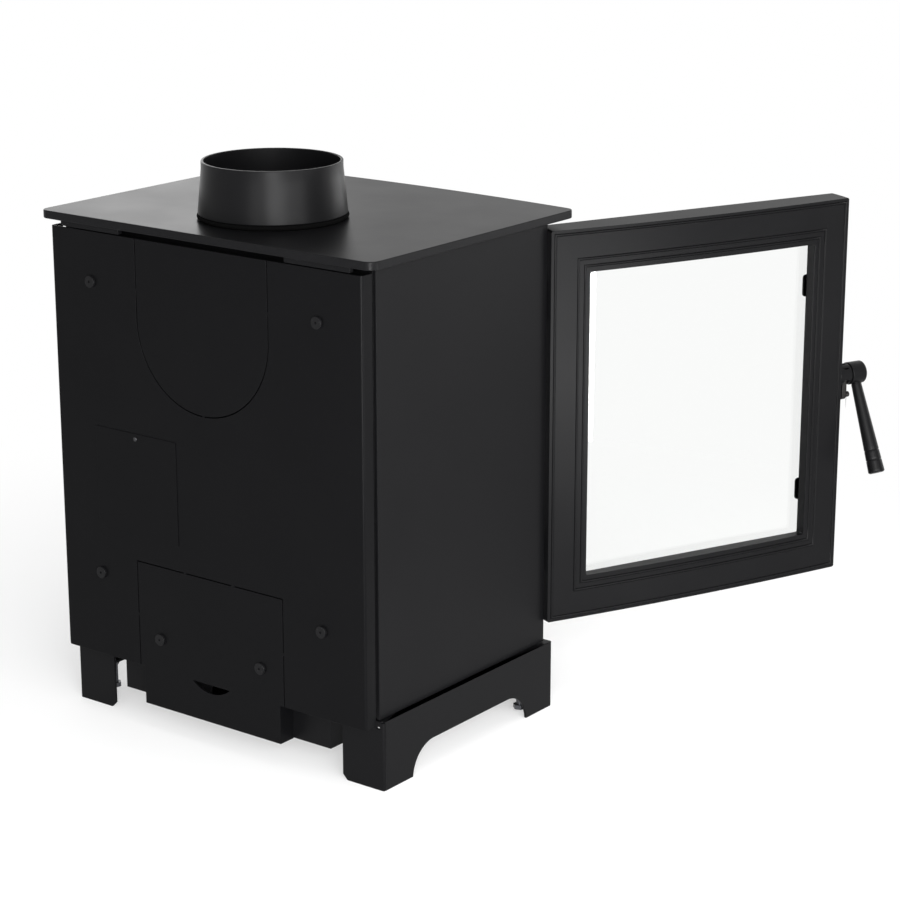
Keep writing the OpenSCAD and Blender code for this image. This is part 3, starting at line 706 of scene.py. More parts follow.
def rounded(node: str, radius: float, segments: int = 2, degrees: float = 40,
            bends: Sequence[Bend] = (), joined: bool = True) -> bpy.types.Object:
    """Makes a node's finished piece: its own shape, with folds and edges rounded.

    Args:
        node: The node's name.
        radius: The edges' radius in metres.
        segments: How many strips make an edge's round.
        degrees: Edges that turn by less than this stay as they are.
        bends: Folds, which are rounded first.
        joined: False joins the flat faces after the rounding instead of before it.

    Returns:
        The piece.
    """
    fold_segments = 6
    mesh = merged(node, joined)
    for bend in bends:
        bevel(mesh, [edge for edge in mesh.edges if bend.holds(edge)], bend.radius, fold_segments)
    return softened(mesh, node, radius, segments, degrees, joined)


def dressed(node: str) -> None:
    """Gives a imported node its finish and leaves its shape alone.

    Args:
        node: The node's name.
    """
    piece = frame["nodes"][node]
    piece.data.materials.clear()
    piece.data.materials.append(finish_of(node).material)
    log.info("%s: dressed as packed", node)


def solids(node: str) -> list[list[Vector]]:
    """Finds the separate solids of a node, in the same order each time.

    Args:
        node: The node's name.

    Returns:
        Each solid's vertices.
    """
    mesh = merged(node)
    left = dict.fromkeys(mesh.verts)
    found = []
    while left:
        reach = [left.popitem()[0]]
        solid = []
        while reach:
            vert = reach.pop()
            solid.append(vert.co.copy())
            for edge in vert.link_edges:
                other = edge.other_vert(vert)
                if other in left:
                    del left[other]
                    reach.append(other)
        found.append(solid)
    mesh.free()
    return found


def islands(node: str) -> list[tuple[Vector, Vector]]:
    """Finds the boxes of a node's separate solids.

    Args:
        node: The node's name.

    Returns:
        Each solid's lowest and highest corner, in order along X, then Y, then Z.
    """
    hundredth_of_mm = 5
    found = [box_of(solid) for solid in solids(node)]
    return sorted(found, key=lambda box: tuple(round(value, hundredth_of_mm) for value in box[0]))


# ---- Fasteners, set out by a node tree ----

def new_tree(
        name: str,
        inputs: Sequence[tuple[str, str]]) -> tuple[bpy.types.NodeTree, dict[str, bpy.types.NodeSocket]]:
    """Starts a geometry tree with named inputs.

    Args:
        name: The tree's name.
        inputs: Each input's name and socket type, after the geometry itself.

    Returns:
        The tree and its inputs' sockets by name.
    """
    tree = bpy.data.node_groups.new(name, "GeometryNodeTree")
    tree.interface.new_socket("Geometry", in_out="INPUT", socket_type="NodeSocketGeometry")
    for label, kind in inputs:
        tree.interface.new_socket(label, in_out="INPUT", socket_type=kind)
    tree.interface.new_socket("Geometry", in_out="OUTPUT", socket_type="NodeSocketGeometry")
    group = tree.nodes.new("NodeGroupInput")
    return tree, {socket.name: socket for socket in group.outputs if socket.name}


def end_tree(tree: bpy.types.NodeTree, shape: bpy.types.NodeSocket, finish: bpy.types.NodeSocket) -> None:
    """Ends a geometry tree: the shape becomes a real mesh and gets its material.

    Args:
        tree: The tree.
        shape: The finished shape.
        finish: Its material.
    """
    solid = add_node(tree, "GeometryNodeRealizeInstances", None, {"Geometry": shape})
    painted = add_node(tree, "GeometryNodeSetMaterial", None,
                       {"Geometry": solid.outputs[0], "Material": finish})
    add_node(tree, "NodeGroupOutput", None, {0: painted.outputs[0]})


def run_tree(piece: bpy.types.Object, tree: bpy.types.NodeTree, values: dict[str, Any]) -> bpy.types.Object:
    """Runs a geometry tree on an object and keeps the result as a plain mesh.

    Args:
        piece: The object, which is linked to the scene and changed.
        tree: The tree.
        values: The inputs' values by name.

    Returns:
        A mesh object with the result.
    """
    bpy.context.collection.objects.link(piece)
    modifier = piece.modifiers.new(tree.name, "NODES")
    modifier.node_group = tree
    for socket in tree.interface.items_tree:
        if socket.in_out == "INPUT" and socket.name in values:
            modifier[socket.identifier] = values[socket.name]
    bpy.context.view_layer.update()
    data = bpy.data.meshes.new_from_object(piece.evaluated_get(bpy.context.evaluated_depsgraph_get()))
    name = piece.name
    bpy.data.objects.remove(piece)
    made = bpy.data.objects.new(name, data)
    bpy.context.collection.objects.link(made)
    return made


def fastener_tree() -> bpy.types.NodeTree:
    """Builds the tree that sets a fastener on every point, each turned by its own angle.

    Returns:
        The tree.
    """
    tree, given = new_tree("Fasteners on points", [
        ("Fastener", "NodeSocketObject"), ("Facing", "NodeSocketRotation"), ("Finish", "NodeSocketMaterial"),
        ("Seed", "NodeSocketInt")])
    shape = add_node(tree, "GeometryNodeObjectInfo", {"As Instance": True}, {"Object": given["Fastener"]})
    least, most = 2, 3
    turn = add_node(tree, "FunctionNodeRandomValue", {"data_type": "FLOAT", least: 0.0, most: math.tau},
                    {"Seed": given["Seed"]})
    spin = add_node(tree, "FunctionNodeAxisAngleToRotation", {"Axis": (0, 0, 1)}, {"Angle": turn.outputs[1]})
    aim = add_node(tree, "FunctionNodeRotateRotation", {"rotation_space": "LOCAL"},
                   {"Rotation": given["Facing"], "Rotate By": spin.outputs[0]})
    placed = add_node(tree, "GeometryNodeInstanceOnPoints", None,
                      {"Points": given["Geometry"], "Instance": shape.outputs["Geometry"],
                       "Rotation": aim.outputs[0]})
    end_tree(tree, placed.outputs[0], given["Finish"])
    return tree


class Socket(Enum):
    """The recess for the key in a round head, as its number of sides."""

    NONE = 0
    HEXAGON = 6


@dataclass(frozen=True)
class Fastener:
    """A screw, bolt or rivet that stands up along +Z from the face that it clamps, with its shank below.

    The head is round, or a chamfered hexagon where the key grips it outside. The dome is the share of a
    round head's height that is rounded.
    """

    head_width: float
    head_height: float
    shank: float
    length: float
    hexagon_head: bool = False
    socket: Socket = Socket.NONE
    socket_width: float = 0.0
    dome: float = 0.0

    def head_profile(self) -> list[tuple[float, float]]:
        """Draws the round head's outline.

        Returns:
            Radius and height from its foot to its crown.
        """
        steps = 7
        crown_width = 1.5
        foot = 0.15 * MM
        radius = self.head_width / 2
        shoulder = self.head_height * (1 - self.dome)
        rise = self.head_height * self.dome
        crown = [(radius - rise * crown_width * (1 - math.cos(a)), shoulder + rise * math.sin(a))
                 for a in (math.pi / 2 * i / steps for i in range(steps + 1))]
        return [(self.shank / 2, 0.0), (radius - foot, 0.0), (radius, foot), *crown]

    def shank_profile(self) -> list[tuple[float, float]]:
        """Draws the plain shank's outline.

        Returns:
            Radius and height from its tip up to the head.
        """
        radius = self.shank / 2
        point = min(0.6 * MM, self.shank / 6)
        return [(radius - point, -self.length), (radius, point - self.length), (radius, 0.0)]

    def build(self, name: str) -> bpy.types.Object:
        """Builds the fastener as a hidden shape that the tree copies.

        Args:
            name: The shape's name.

        Returns:
            The shape, which isn't linked to the scene.
        """
        shank_steps, head_steps = 24, 48
        crease = 32
        mesh = bmesh.new()
        outline = [(0.0, -self.length), *self.shank_profile()]
        if self.hexagon_head:
            self.add_hexagon_head(mesh)
            turned(mesh, [*outline, (0.0, 0.0)], shank_steps)
        elif self.socket is Socket.NONE:
            turned(mesh, [*outline, *self.head_profile()[1:], (0.0, self.head_height)], head_steps)
        else:
            turned(mesh, [*outline, *self.head_profile()[1:]], head_steps, open_top=True)
            self.sink_socket(mesh)
        for face in mesh.faces:
            face.smooth = True
        data = bpy.data.meshes.new(name)
        mesh.to_mesh(data)
        mesh.free()
        data.set_sharp_from_angle(angle=math.radians(crease))
        return bpy.data.objects.new(name, data)

    def sink_socket(self, mesh: bmesh.types.BMesh) -> None:
        """Closes the head's flat with the recess for the key.

        Args:
            mesh: The mesh, whose open rim is at the head's flat.
        """
        sunk = 0.4
        taper = 0.97
        sides = self.socket.value
        rim = [edge for edge in mesh.edges if edge.is_boundary]
        mouth = ring(mesh, self.socket_width / math.sqrt(3), self.head_height, sides)
        lip = [mesh.edges.new((mouth[i], mouth[(i + 1) % sides])) for i in range(sides)]
        bmesh.ops.bridge_loops(mesh, edges=rim + lip)
        low = self.head_height - self.head_height * sunk
        floor = [mesh.verts.new((vert.co.x * taper, vert.co.y * taper, low)) for vert in mouth]
        wall(mesh, mouth, floor)
        mesh.faces.new(floor)
        bmesh.ops.recalc_face_normals(mesh, faces=mesh.faces)

    def add_hexagon_head(self, mesh: bmesh.types.BMesh) -> None:
        """Adds the hexagon head with its round chamfer on top.

        Args:
            mesh: The mesh, which is changed.
        """
        sides = 6
        over_corners = self.head_width / math.sqrt(3)
        chamfer = 0.12
        top = 0.9
        levels = [(over_corners, 0.0), (over_corners, self.head_height * (1 - chamfer)),
                  (over_corners * top, self.head_height)]
        rings = [ring(mesh, radius, height, sides) for radius, height in levels]
        for low, high in zip(rings, rings[1:]):
            wall(mesh, low, high)
        mesh.faces.new(rings[-1])
        mesh.faces.new(rings[0][::-1])


def turned(mesh: bmesh.types.BMesh, outline: Sequence[tuple[float, float]], steps: int,
           open_top: bool = False) -> None:
    """Adds a turned shape round Z.

    Args:
        mesh: The mesh, which is changed.
        outline: Radius and height from the foot to the top, where a radius of 0 closes an end.
        steps: How many faces go round.
        open_top: True where the top stays open for a recess, which turns the faces outwards later.
    """
    rings = [ring(mesh, radius, height, steps) for radius, height in outline]
    for low, high in zip(rings, rings[1:]):
        wall(mesh, low, high)
    if not open_top:
        bmesh.ops.recalc_face_normals(mesh, faces=mesh.faces)


class Facing(Enum):
    """Which way a fastener's head points, as the turn from +Z."""

    REAR = (-math.pi / 2, 0.0, 0.0)
    UP = (0.0, 0.0, 0.0)
    DOWN = (math.pi, 0.0, 0.0)

    def seat(self, low: Vector, high: Vector, head_height: float) -> Vector:
        """Finds where the underside of a fastener's head sits.

        Args:
            low: The lowest corner of the fastener's box.
            high: The box's highest corner.
            head_height: The head's height.

        Returns:
            The place.
        """
        place = Vector([(a + b) / 2 for a, b in zip(low, high)])
        if self is Facing.REAR:
            place.y = high.y - head_height
        elif self is Facing.UP:
            place.z = high.z - head_height
        else:
            place.z = low.z + head_height
        return place


class FastenerSet:
    """Sets fasteners on points with one shared tree."""

    def __init__(self) -> None:
        """Builds the tree."""
        self.tree = fastener_tree()

    def place(self, node: str, fastener: Fastener, points: Sequence[Vector], facing: Matrix | Facing,
              seed: int) -> bpy.types.Object:
        """Makes the piece that stands for one node of fasteners.

        Args:
            node: The node's name.
            fastener: The fastener that repeats.
            points: Where the heads' undersides sit.
            facing: The way that the heads point.
            seed: Sets how far each one is turned.

        Returns:
            The piece.
        """
        points_mesh = bpy.data.meshes.new(node + "_points")
        points_mesh.from_pydata([tuple(point) for point in points], [], [])
        turn = facing.to_euler() if isinstance(facing, Matrix) else facing.value
        shape = fastener.build(node + "_shape")
        holder = bpy.data.objects.new(node + "_set", points_mesh)
        piece = run_tree(holder, self.tree, {"Fastener": shape, "Facing": tuple(turn),
                                             "Finish": finish_of(node).material, "Seed": seed})
        bpy.data.objects.remove(shape)
        return finish_piece(piece, finish_of(node), node)

    def fit(self, node: str, fastener: Fastener, facing: Facing, seed: int) -> bpy.types.Object:
        """Makes the piece that stands for a node, with a fastener in the place of each of its solids.

        Args:
            node: The node's name.
            fastener: The fastener that repeats.
            facing: The way that the heads point.
            seed: Sets how far each one is turned.

        Returns:
            The piece.
        """
        points = [facing.seat(low, high, fastener.head_height) for low, high in islands(node)]
        return self.place(node, fastener, points, facing, seed)


# ---- Rope seals, laid by a node tree ----

def rope_tree() -> bpy.types.NodeTree:
    """Builds the tree that winds strands round a flat path.

    The strands turn about the path in an oval, so that the rope looks squeezed, and the last node gives them
    their material.

    Returns:
        The tree.
    """
    tree, given = new_tree("Rope along a path", [
        ("Facing", "NodeSocketVector"), ("Width", "NodeSocketFloat"), ("Height", "NodeSocketFloat"),
        ("Strands", "NodeSocketInt"), ("Turns", "NodeSocketFloat"), ("Step", "NodeSocketFloat"),
        ("Strand radius", "NodeSocketFloat"), ("Finish", "NodeSocketMaterial")])

    def sums(kind: str, first: Any, second: Any) -> bpy.types.NodeSocket:
        """Adds one sum of two values.

        Args:
            kind: The node's own name for the sum.
            first: A socket or a number.
            second: A socket or a number.

        Returns:
            The sum's value.
        """
        values = {i: v for i, v in enumerate((first, second)) if not isinstance(v, bpy.types.NodeSocket)}
        feeds = {i: v for i, v in enumerate((first, second)) if isinstance(v, bpy.types.NodeSocket)}
        return add_node(tree, "ShaderNodeMath", {"operation": kind, **values}, feeds).outputs[0]

    def scaled(vector: bpy.types.NodeSocket, by: bpy.types.NodeSocket) -> bpy.types.NodeSocket:
        """Scales a vector."""
        feeds = {0: vector, "Scale": by}
        return add_node(tree, "ShaderNodeVectorMath", {"operation": "SCALE"}, feeds).outputs[0]

    strand_sides = 8
    path = add_node(tree, "GeometryNodeResampleCurve", {"mode": "LENGTH"},
                    {"Curve": given["Geometry"], "Length": given["Step"]})
    strands = add_node(tree, "GeometryNodeDuplicateElements", {"domain": "SPLINE"},
                       {"Geometry": path.outputs[0], "Amount": given["Strands"]})
    along = add_node(tree, "GeometryNodeSplineParameter").outputs["Factor"]
    own = sums("DIVIDE", strands.outputs["Duplicate Index"], given["Strands"])
    angle = sums("MULTIPLY", sums("ADD", sums("MULTIPLY", along, given["Turns"]), own), math.tau)
    tangent = add_node(tree, "GeometryNodeInputTangent").outputs[0]
    side = add_node(tree, "ShaderNodeVectorMath", {"operation": "CROSS_PRODUCT"},
                    {0: tangent, 1: given["Facing"]}).outputs[0]
    half_width = sums("SUBTRACT", sums("MULTIPLY", given["Width"], 0.5), given["Strand radius"])
    half_height = sums("SUBTRACT", sums("MULTIPLY", given["Height"], 0.5), given["Strand radius"])
    across = scaled(side, sums("MULTIPLY", sums("COSINE", angle, 0.0), half_width))
    proud = scaled(given["Facing"], sums("MULTIPLY", sums("SINE", angle, 0.0), half_height))
    offset = add_node(tree, "ShaderNodeVectorMath", {"operation": "ADD"}, {0: across, 1: proud})
    wound = add_node(tree, "GeometryNodeSetPosition", None,
                     {"Geometry": strands.outputs[0], "Offset": offset.outputs[0]})
    section = add_node(tree, "GeometryNodeCurvePrimitiveCircle", {"Resolution": strand_sides},
                       {"Radius": given["Strand radius"]})
    tube = add_node(tree, "GeometryNodeCurveToMesh", None,
                    {"Curve": wound.outputs[0], "Profile Curve": section.outputs[0]})
    smooth = add_node(tree, "GeometryNodeSetShadeSmooth", None, {"Geometry": tube.outputs[0]})
    end_tree(tree, smooth.outputs[0], given["Finish"])
    return tree


@dataclass
class RopeSeal:
    """A squeezed rope of twisted strands along a closed, flat path."""

    node: str
    width: float
    height: float
    facing: Vector
    strand_share: float
    lay: float
    strands: int = 5

    def lay_along(self, tree: bpy.types.NodeTree, path: Sequence[Vector]) -> bpy.types.Object:
        """Makes the rope along a path.

        Args:
            tree: The rope tree.
            path: The closed path's points.

        Returns:
            The piece.
        """
        line = bpy.data.curves.new(self.node + "_path", "CURVE")
        line.dimensions = "3D"
        spline = line.splines.new("POLY")
        spline.points.add(len(path) - 1)
        for point, place in zip(spline.points, path):
            point.co = (*place, 1.0)
        spline.use_cyclic_u = True
        steps_in_lay = 10
        length = sum((path[i] - path[i - 1]).length for i in range(len(path)))
        turns = round(length / self.lay)
        piece = run_tree(bpy.data.objects.new(self.node + "_rope", line), tree, {
            "Facing": tuple(self.facing), "Width": self.width, "Height": self.height,
            "Strands": self.strands, "Turns": float(turns), "Step": self.lay / steps_in_lay,
            "Strand radius": self.height * self.strand_share, "Finish": finish_of(self.node).material})
        return finish_piece(piece, finish_of(self.node), self.node)


# ---- Sub-assemblies ----

@dataclass
class Plinth:
    """The folded sheet plinth, its levelling bolts and the bolts that hold it to the base."""

    sheet: float = 3 * MM
    fold: float = 3.2 * MM
    edge: float = 0.5 * MM
    flange_half: float = 203 * MM
    flange_lap: float = 6 * MM
    levelling_head: float = 5.3 * MM

    def side(self, node: str) -> None:
        """Builds one side, with its two upright folds cut round.

        Args:
            node: The side's node.
        """
        steps = 6
        spare = 1 * MM
        low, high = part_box(node)
        outer = low.x if abs(low.x) > abs(high.x) else high.x
        turns = [math.pi / 2 * i / steps for i in range(steps + 1)]
        outline = [(self.fold * (1 - math.cos(turn)), self.fold * (1 - math.sin(turn))) for turn in turns]
        outline += [(self.fold, -spare), (-spare, -spare), (-spare, self.fold)]
        cutter = bmesh.new()
        for y, inward in ((low.y, 1), (high.y, -1)):
            ends = [[cutter.verts.new((outer - across * math.copysign(1, outer), y + inward * along, z))
                     for across, along in outline] for z in (low.z - spare, high.z + spare)]
            wall(cutter, *ends)
            for end in ends:
                cutter.faces.new(end)
        bmesh.ops.recalc_face_normals(cutter, faces=cutter.faces)
        mesh = cut(merged(node, joined=False), cutter, node)
        join_flat(mesh)
        softened(mesh, node, self.edge, degrees=FACETED)

    def build(self, fasteners: FastenerSet) -> None:
        """Builds the plinth.

        Args:
            fasteners: The set that places bolts.
        """
        for node in ("plinth_left", "plinth_right"):
            self.side(node)
        self.front()
        clamp = Fastener(head_width=10 * MM, head_height=4 * MM, shank=6 * MM, length=7 * MM,
                         hexagon_head=True)
        fasteners.fit("plinth_bolts", clamp, Facing.DOWN, seed=3)
        for end in ("front_left", "front_right", "rear_left", "rear_right"):
            node = "levelling_bolt_" + end
            low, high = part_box(node)
            bolt = Fastener(head_width=13 * MM, head_height=self.levelling_head, shank=8 * MM,
                            length=high.z - low.z - self.levelling_head, hexagon_head=True)
            point = Facing.DOWN.seat(low, high, bolt.head_height)
            fasteners.place(node, bolt, [point], Facing.DOWN, seed=11)

    def front(self) -> None:
        """Builds the front, with a flange that closes the gap between it and the body."""
        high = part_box("plinth_front")[1]
        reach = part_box("base_plate")[0].y + self.flange_lap - high.y
        mesh = merged("plinth_front")
        flange = bmesh.ops.create_cube(mesh, size=1)["verts"]
        bmesh.ops.scale(mesh, vec=(2 * self.flange_half, reach, self.sheet), verts=flange)
        bmesh.ops.translate(mesh, vec=(0, high.y + reach / 2, high.z - self.sheet / 2), verts=flange)
        softened(mesh, "plinth_front", self.edge)


@dataclass
class Shell:
    """The welded body: side, back and base panels, cast front frame, shelves and airwash plate.

    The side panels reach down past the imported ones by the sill, so that the line above the plinth is as thin
    as the real one.
    """

    sheet_edge: float = 0.6 * MM
    cast_edge: float = 1.2 * MM
    sill: float = 1.3 * MM

    def build(self) -> None:
        """Builds the shell."""
        for node in ("back_panel", "base_plate", "ash_shelf", "grate_shelf", "airwash_plate"):
            rounded(node, self.sheet_edge)
        for node in ("side_panel_left", "side_panel_right"):
            mesh = merged(node)
            low = min(vert.co.z for vert in mesh.verts)
            for vert in mesh.verts:
                if vert.co.z < low + self.sheet_edge:
                    vert.co.z -= self.sill
            softened(mesh, node, self.sheet_edge)
        rounded("front_frame", self.cast_edge, segments=3)


@dataclass
class Top:
    """The top plate, the flue collar with its seal and bolts, and the blanked rear outlet."""

    plate_edge: float = 1.0 * MM
    rim_edge: float = 0.8 * MM
    seal_inner: float = 74 * MM

    def build(self, fasteners: FastenerSet, rope: bpy.types.NodeTree) -> None:
        """Builds the top.

        Args:
            fasteners: The set that places bolts.
            rope: The tree that winds rope.
        """
        rounded("top_plate", self.plate_edge, segments=3)
        rounded("flue_collar", self.rim_edge, segments=3, degrees=30)
        rounded("outlet_blank", self.plate_edge)
        long = Fastener(head_width=13 * MM, head_height=5 * MM, shank=7 * MM, length=21 * MM,
                        hexagon_head=True)
        fasteners.fit("collar_bolts", long, Facing.UP, seed=5)
        short = Fastener(head_width=10 * MM, head_height=4 * MM, shank=6 * MM, length=9 * MM,
                         hexagon_head=True)
        fasteners.fit("outlet_blank_bolts", short, Facing.REAR, seed=7)
        self.seal(rope)

    def seal(self, rope: bpy.types.NodeTree) -> None:
        """Lays the rope under the collar.

        Args:
            rope: The tree that winds rope.
        """
        steps = 120
        low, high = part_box("flue_seal")
        middle = (high.x + self.seal_inner) / 2
        path = [Vector((middle * math.cos(math.tau * i / steps), middle * math.sin(math.tau * i / steps),
                        (low.z + high.z) / 2)) for i in range(steps)]
        seal = RopeSeal("flue_seal", high.x - self.seal_inner, high.z - low.z, Vector((0, 0, 1)),
                        strand_share=0.36, lay=18 * MM)
        seal.lay_along(rope, path)


@dataclass
class RearShield:
    """The sheet heat shield on its spacers, with its screws and its bare data plate."""

    fold: float = 3 * MM
    sheet: float = 2 * MM
    edge: float = 0.3 * MM
    plate_edge: float = 0.2 * MM

    def build(self, fasteners: FastenerSet) -> None:
        """Builds the shield.

        Args:
            fasteners: The set that places screws.
        """
        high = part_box("rear_shield")[1]
        bends = []
        for side in (-1, 1):
            for depth in (0, self.sheet):
                bends.append(Bend((0, side * (high.x - depth)), (1, high.y - depth), self.fold - depth))
        rounded("rear_shield", self.edge, bends=bends)
        screw = Fastener(head_width=13 * MM, head_height=3 * MM, shank=5 * MM, length=26 * MM,
                         socket=Socket.HEXAGON, socket_width=2.5 * MM, dome=0.15)
        for node, seed in (("shield_screws", 2), ("cover_screws", 4)):
            fasteners.fit(node, screw, Facing.REAR, seed)
        rounded("shield_tabs", self.edge)
        rounded("shield_spacers", self.edge)
        rounded("data_plate", self.plate_edge)
        rivet = Fastener(head_width=4.8 * MM, head_height=0.9 * MM, shank=3.2 * MM, length=2.8 * MM,
                         dome=0.9)
        point = Facing.REAR.seat(*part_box("data_plate_rivet"), rivet.head_height)
        fasteners.place("data_plate_rivet", rivet, [point], Facing.REAR, seed=1)


@dataclass
class Firebox:
    """The fire board lining, baffle, grate, log guard and ash pan."""

    board_edge: float = 1.5 * MM
    cast_edge: float = 0.8 * MM
    sheet_edge: float = 0.4 * MM

    def build(self) -> None:
        """Builds the firebox."""
        for node in ("brick_left", "brick_right", "brick_rear", "baffle"):
            rounded(node, self.board_edge)
        for node in ("grate", "log_guard"):
            rounded(node, self.cast_edge)
        for node in ("ash_pan", "ash_pan_pull"):
            rounded(node, self.sheet_edge)


@dataclass
class AirControl:
    """The air box below the body, and the slider under the door with its rails and knob."""

    sheet_edge: float = 0.5 * MM
    cast_edge: float = 0.3 * MM

    def build(self) -> None:
        """Builds the air control."""
        rounded("air_box", self.sheet_edge)
        for node in ("air_rails", "air_slider"):
            rounded(node, self.cast_edge)
        rounded("air_knob", self.cast_edge, segments=3, degrees=25)


@dataclass(frozen=True)
class Leaf:
    """The open door's own directions, read from its glass.

    Places on the door are given across its width, along its thickness towards the stove, and up.
    """

    across: Vector
    inward: Vector
    middle: Vector

    @classmethod
    def of_glass(cls) -> "Leaf":
        """Reads the directions from the flat glass, and from the clips that lie on its inner side.

        Returns:
            The directions, with the middle of the glass.
        """
        mesh = merged("door_glass")
        inward = max(mesh.faces, key=lambda face: face.calc_area()).normal.copy()
        mesh.free()
        low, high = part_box("door_glass")
        middle = (low + high) / 2
        clips_low, clips_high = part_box("glass_clips")
        if ((clips_low + clips_high) / 2 - middle).dot(inward) < 0:
            inward = -inward
        return cls(inward.cross(Vector((0, 0, 1))), inward, middle)

    def local(self, place: Vector) -> Vector:
        """Turns a place into one across, into and up the door."""
        offset = place - self.middle
        return Vector((offset.dot(self.across), offset.dot(self.inward), offset.z))

    def world(self, place: Vector) -> Vector:
        """Turns a place on the door back into one in the stove's frame."""
        return self.middle + self.across * place.x + self.inward * place.y + Vector((0, 0, place.z))

    def span(self, node: str) -> tuple[Vector, Vector]:
        """The lowest and highest corners of a node on the door, in the door's directions."""
        return box_of([self.local(vert.co) for vert in frame["nodes"][node].data.vertices])


@dataclass
class Door:
    """The cast door with its glass, clips and seals, its hinge and its keeper.

    The beads' middles and the edge round the glass are given by their distance from the face's outline.
    """

    bow: float = 6.6 * MM
    beads: tuple[float, ...] = (5.1 * MM, 33.6 * MM, 41.8 * MM)
    bead_width: float = 2.2 * MM
    bead_height: float = 1 * MM
    quirk_width: float = 0.5 * MM
    quirk_depth: float = 1.6 * MM
    outer_round: float = 1.2 * MM
    sight_inset: float = 48.7 * MM
    fine_round: float = 0.15 * MM
    cast_edge: float = 0.8 * MM
    glass_edge: float = 0.4 * MM
    clip_edge: float = 0.4 * MM
    clip_corner: float = 4 * MM
    glass_lap: float = 39.7 * MM
    rope_width: float = 7.6 * MM
    rope_corner: float = 5 * MM

    def build(self, fasteners: FastenerSet, rope: bpy.types.NodeTree) -> None:
        """Builds the door.

        Args:
            fasteners: The set that places screws.
            rope: The tree that winds rope.
        """
        leaf = Leaf.of_glass()
        self.casting(leaf)
        rounded("door_glass", self.glass_edge)
        self.clips(leaf, fasteners)
        rounded("door_keeper", self.cast_edge)
        rounded("hinge_brackets", self.cast_edge, degrees=FACETED)
        rounded("hinge_pins", self.cast_edge, degrees=FACETED)
        dressed("glass_tape")
        self.seal(leaf, rope)

    def casting(self, leaf: Leaf) -> None:
        """Puts a half-round bead between two quirks in the place of each stepped one, and rounds the edges.

        Args:
            leaf: The door's directions.
        """
        near = 0.06 * MM
        face_spare, quirk_spare = 1 * MM, 4 * MM
        soft_segments = 4
        mesh = merged("door_frame", joined=False)
        half_width = self.half_width(leaf)
        front = min(leaf.local(vert.co).y for vert in mesh.verts)
        half_height = max(abs(leaf.local(vert.co).z) for vert in mesh.verts
                          if leaf.local(vert.co).y < front + self.bow + self.bead_height + face_spare)

        def inset(vert: bmesh.types.BMVert) -> float:
            """The distance of a vertex from the face's outline."""
            place = leaf.local(vert.co)
            return min(half_width - abs(place.x), half_height - abs(place.z))

        def along(edge: bmesh.types.BMEdge, distance: float) -> bool:
            """Tells whether an edge runs round the face at a distance from its outline.

            Args:
                edge: The edge.
                distance: The distance in metres.

            Returns:
                True where it does.
            """
            first, second = [leaf.local(vert.co).y for vert in edge.verts]
            flat = abs(first - second) < 0.5 * edge.calc_length()
            return flat and all(abs(inset(vert) - distance) < near for vert in edge.verts)

        def beside_bead(edge: bmesh.types.BMEdge) -> bool:
            """Tells whether an edge lies where a bead goes or in its quirks.

            Args:
                edge: The edge.

            Returns:
                True where it does.
            """
            reach = self.bead_width / 2 + self.quirk_width + near
            for vert in edge.verts:
                behind = leaf.local(vert.co).y > front + self.bow + quirk_spare
                if behind or all(abs(inset(vert) - bead) > reach for bead in self.beads):
                    return False
            return True

        cutter, beads = bmesh.new(), bmesh.new()
        for bead in self.beads:
            middle = (half_width - bead, half_height - bead)
            self.sweep(beads, leaf, middle, front, self.bead_profile())
            self.sweep(cutter, leaf, middle, front, self.trough_profile())
        for solid in (cutter, beads):
            if solid.calc_volume(signed=True) < 0:
                bmesh.ops.reverse_faces(solid, faces=solid.faces)
        joined = cut(mesh, cutter, "door_frame")
        soft = [edge for edge in sharp_edges(joined, FACETED)
                if edge.is_convex and (along(edge, 0) or along(edge, self.sight_inset))]
        log.info("door_frame: %d edges rounded softly", len(soft))
        bevel(joined, soft, self.outer_round, soft_segments)
        fine = [edge for edge in sharp_edges(joined, FACETED) if not beside_bead(edge)]
        bevel(joined, fine, self.fine_round, 1)
        join_flat(joined)
        beads_data = bpy.data.meshes.new("beads")
        beads.to_mesh(beads_data)
        beads.free()
        joined.from_mesh(beads_data)
        piece = shaded(joined, "door_frame_rounded")
        self.follow_bow(piece, leaf, front)
        finish_piece(piece, finish_of("door_frame"), "door_frame")

    def bead_profile(self) -> list[tuple[float, float]]:
        """Draws a bead's outline, which is rooted in the face.

        Returns:
            Distance outwards from the bead's middle and height above the face.
        """
        steps = 10
        root = 0.3 * MM
        half = self.bead_width / 2
        turns = [math.pi * i / steps for i in range(steps + 1)]
        crown = [(math.cos(turn) * half, math.sin(turn) * self.bead_height) for turn in turns]
        return [*crown, (-half, -root), (half, -root)]

    def trough_profile(self) -> list[tuple[float, float]]:
        """Draws the outline of what a bead takes away: all above the face, and a quirk on each side.

        Returns:
            Distance outwards from the bead's middle and height above the face.
        """
        clear = 2 * MM
        half = self.bead_width / 2
        edge = half + self.quirk_width
        return [(-edge, clear), (-edge, -self.quirk_depth), (-half, -self.quirk_depth), (-half, 0),
                (half, 0), (half, -self.quirk_depth), (edge, -self.quirk_depth), (edge, clear)]

    def bow_radius(self, leaf: Leaf) -> float:
        """The radius of the bow over the beads' crowns, from the face's width and its rise.

        Args:
            leaf: The door's directions.

        Returns:
            The radius in metres.
        """
        full = self.half_width(leaf)
        return (full * full + self.bow * self.bow) / (2 * self.bow)

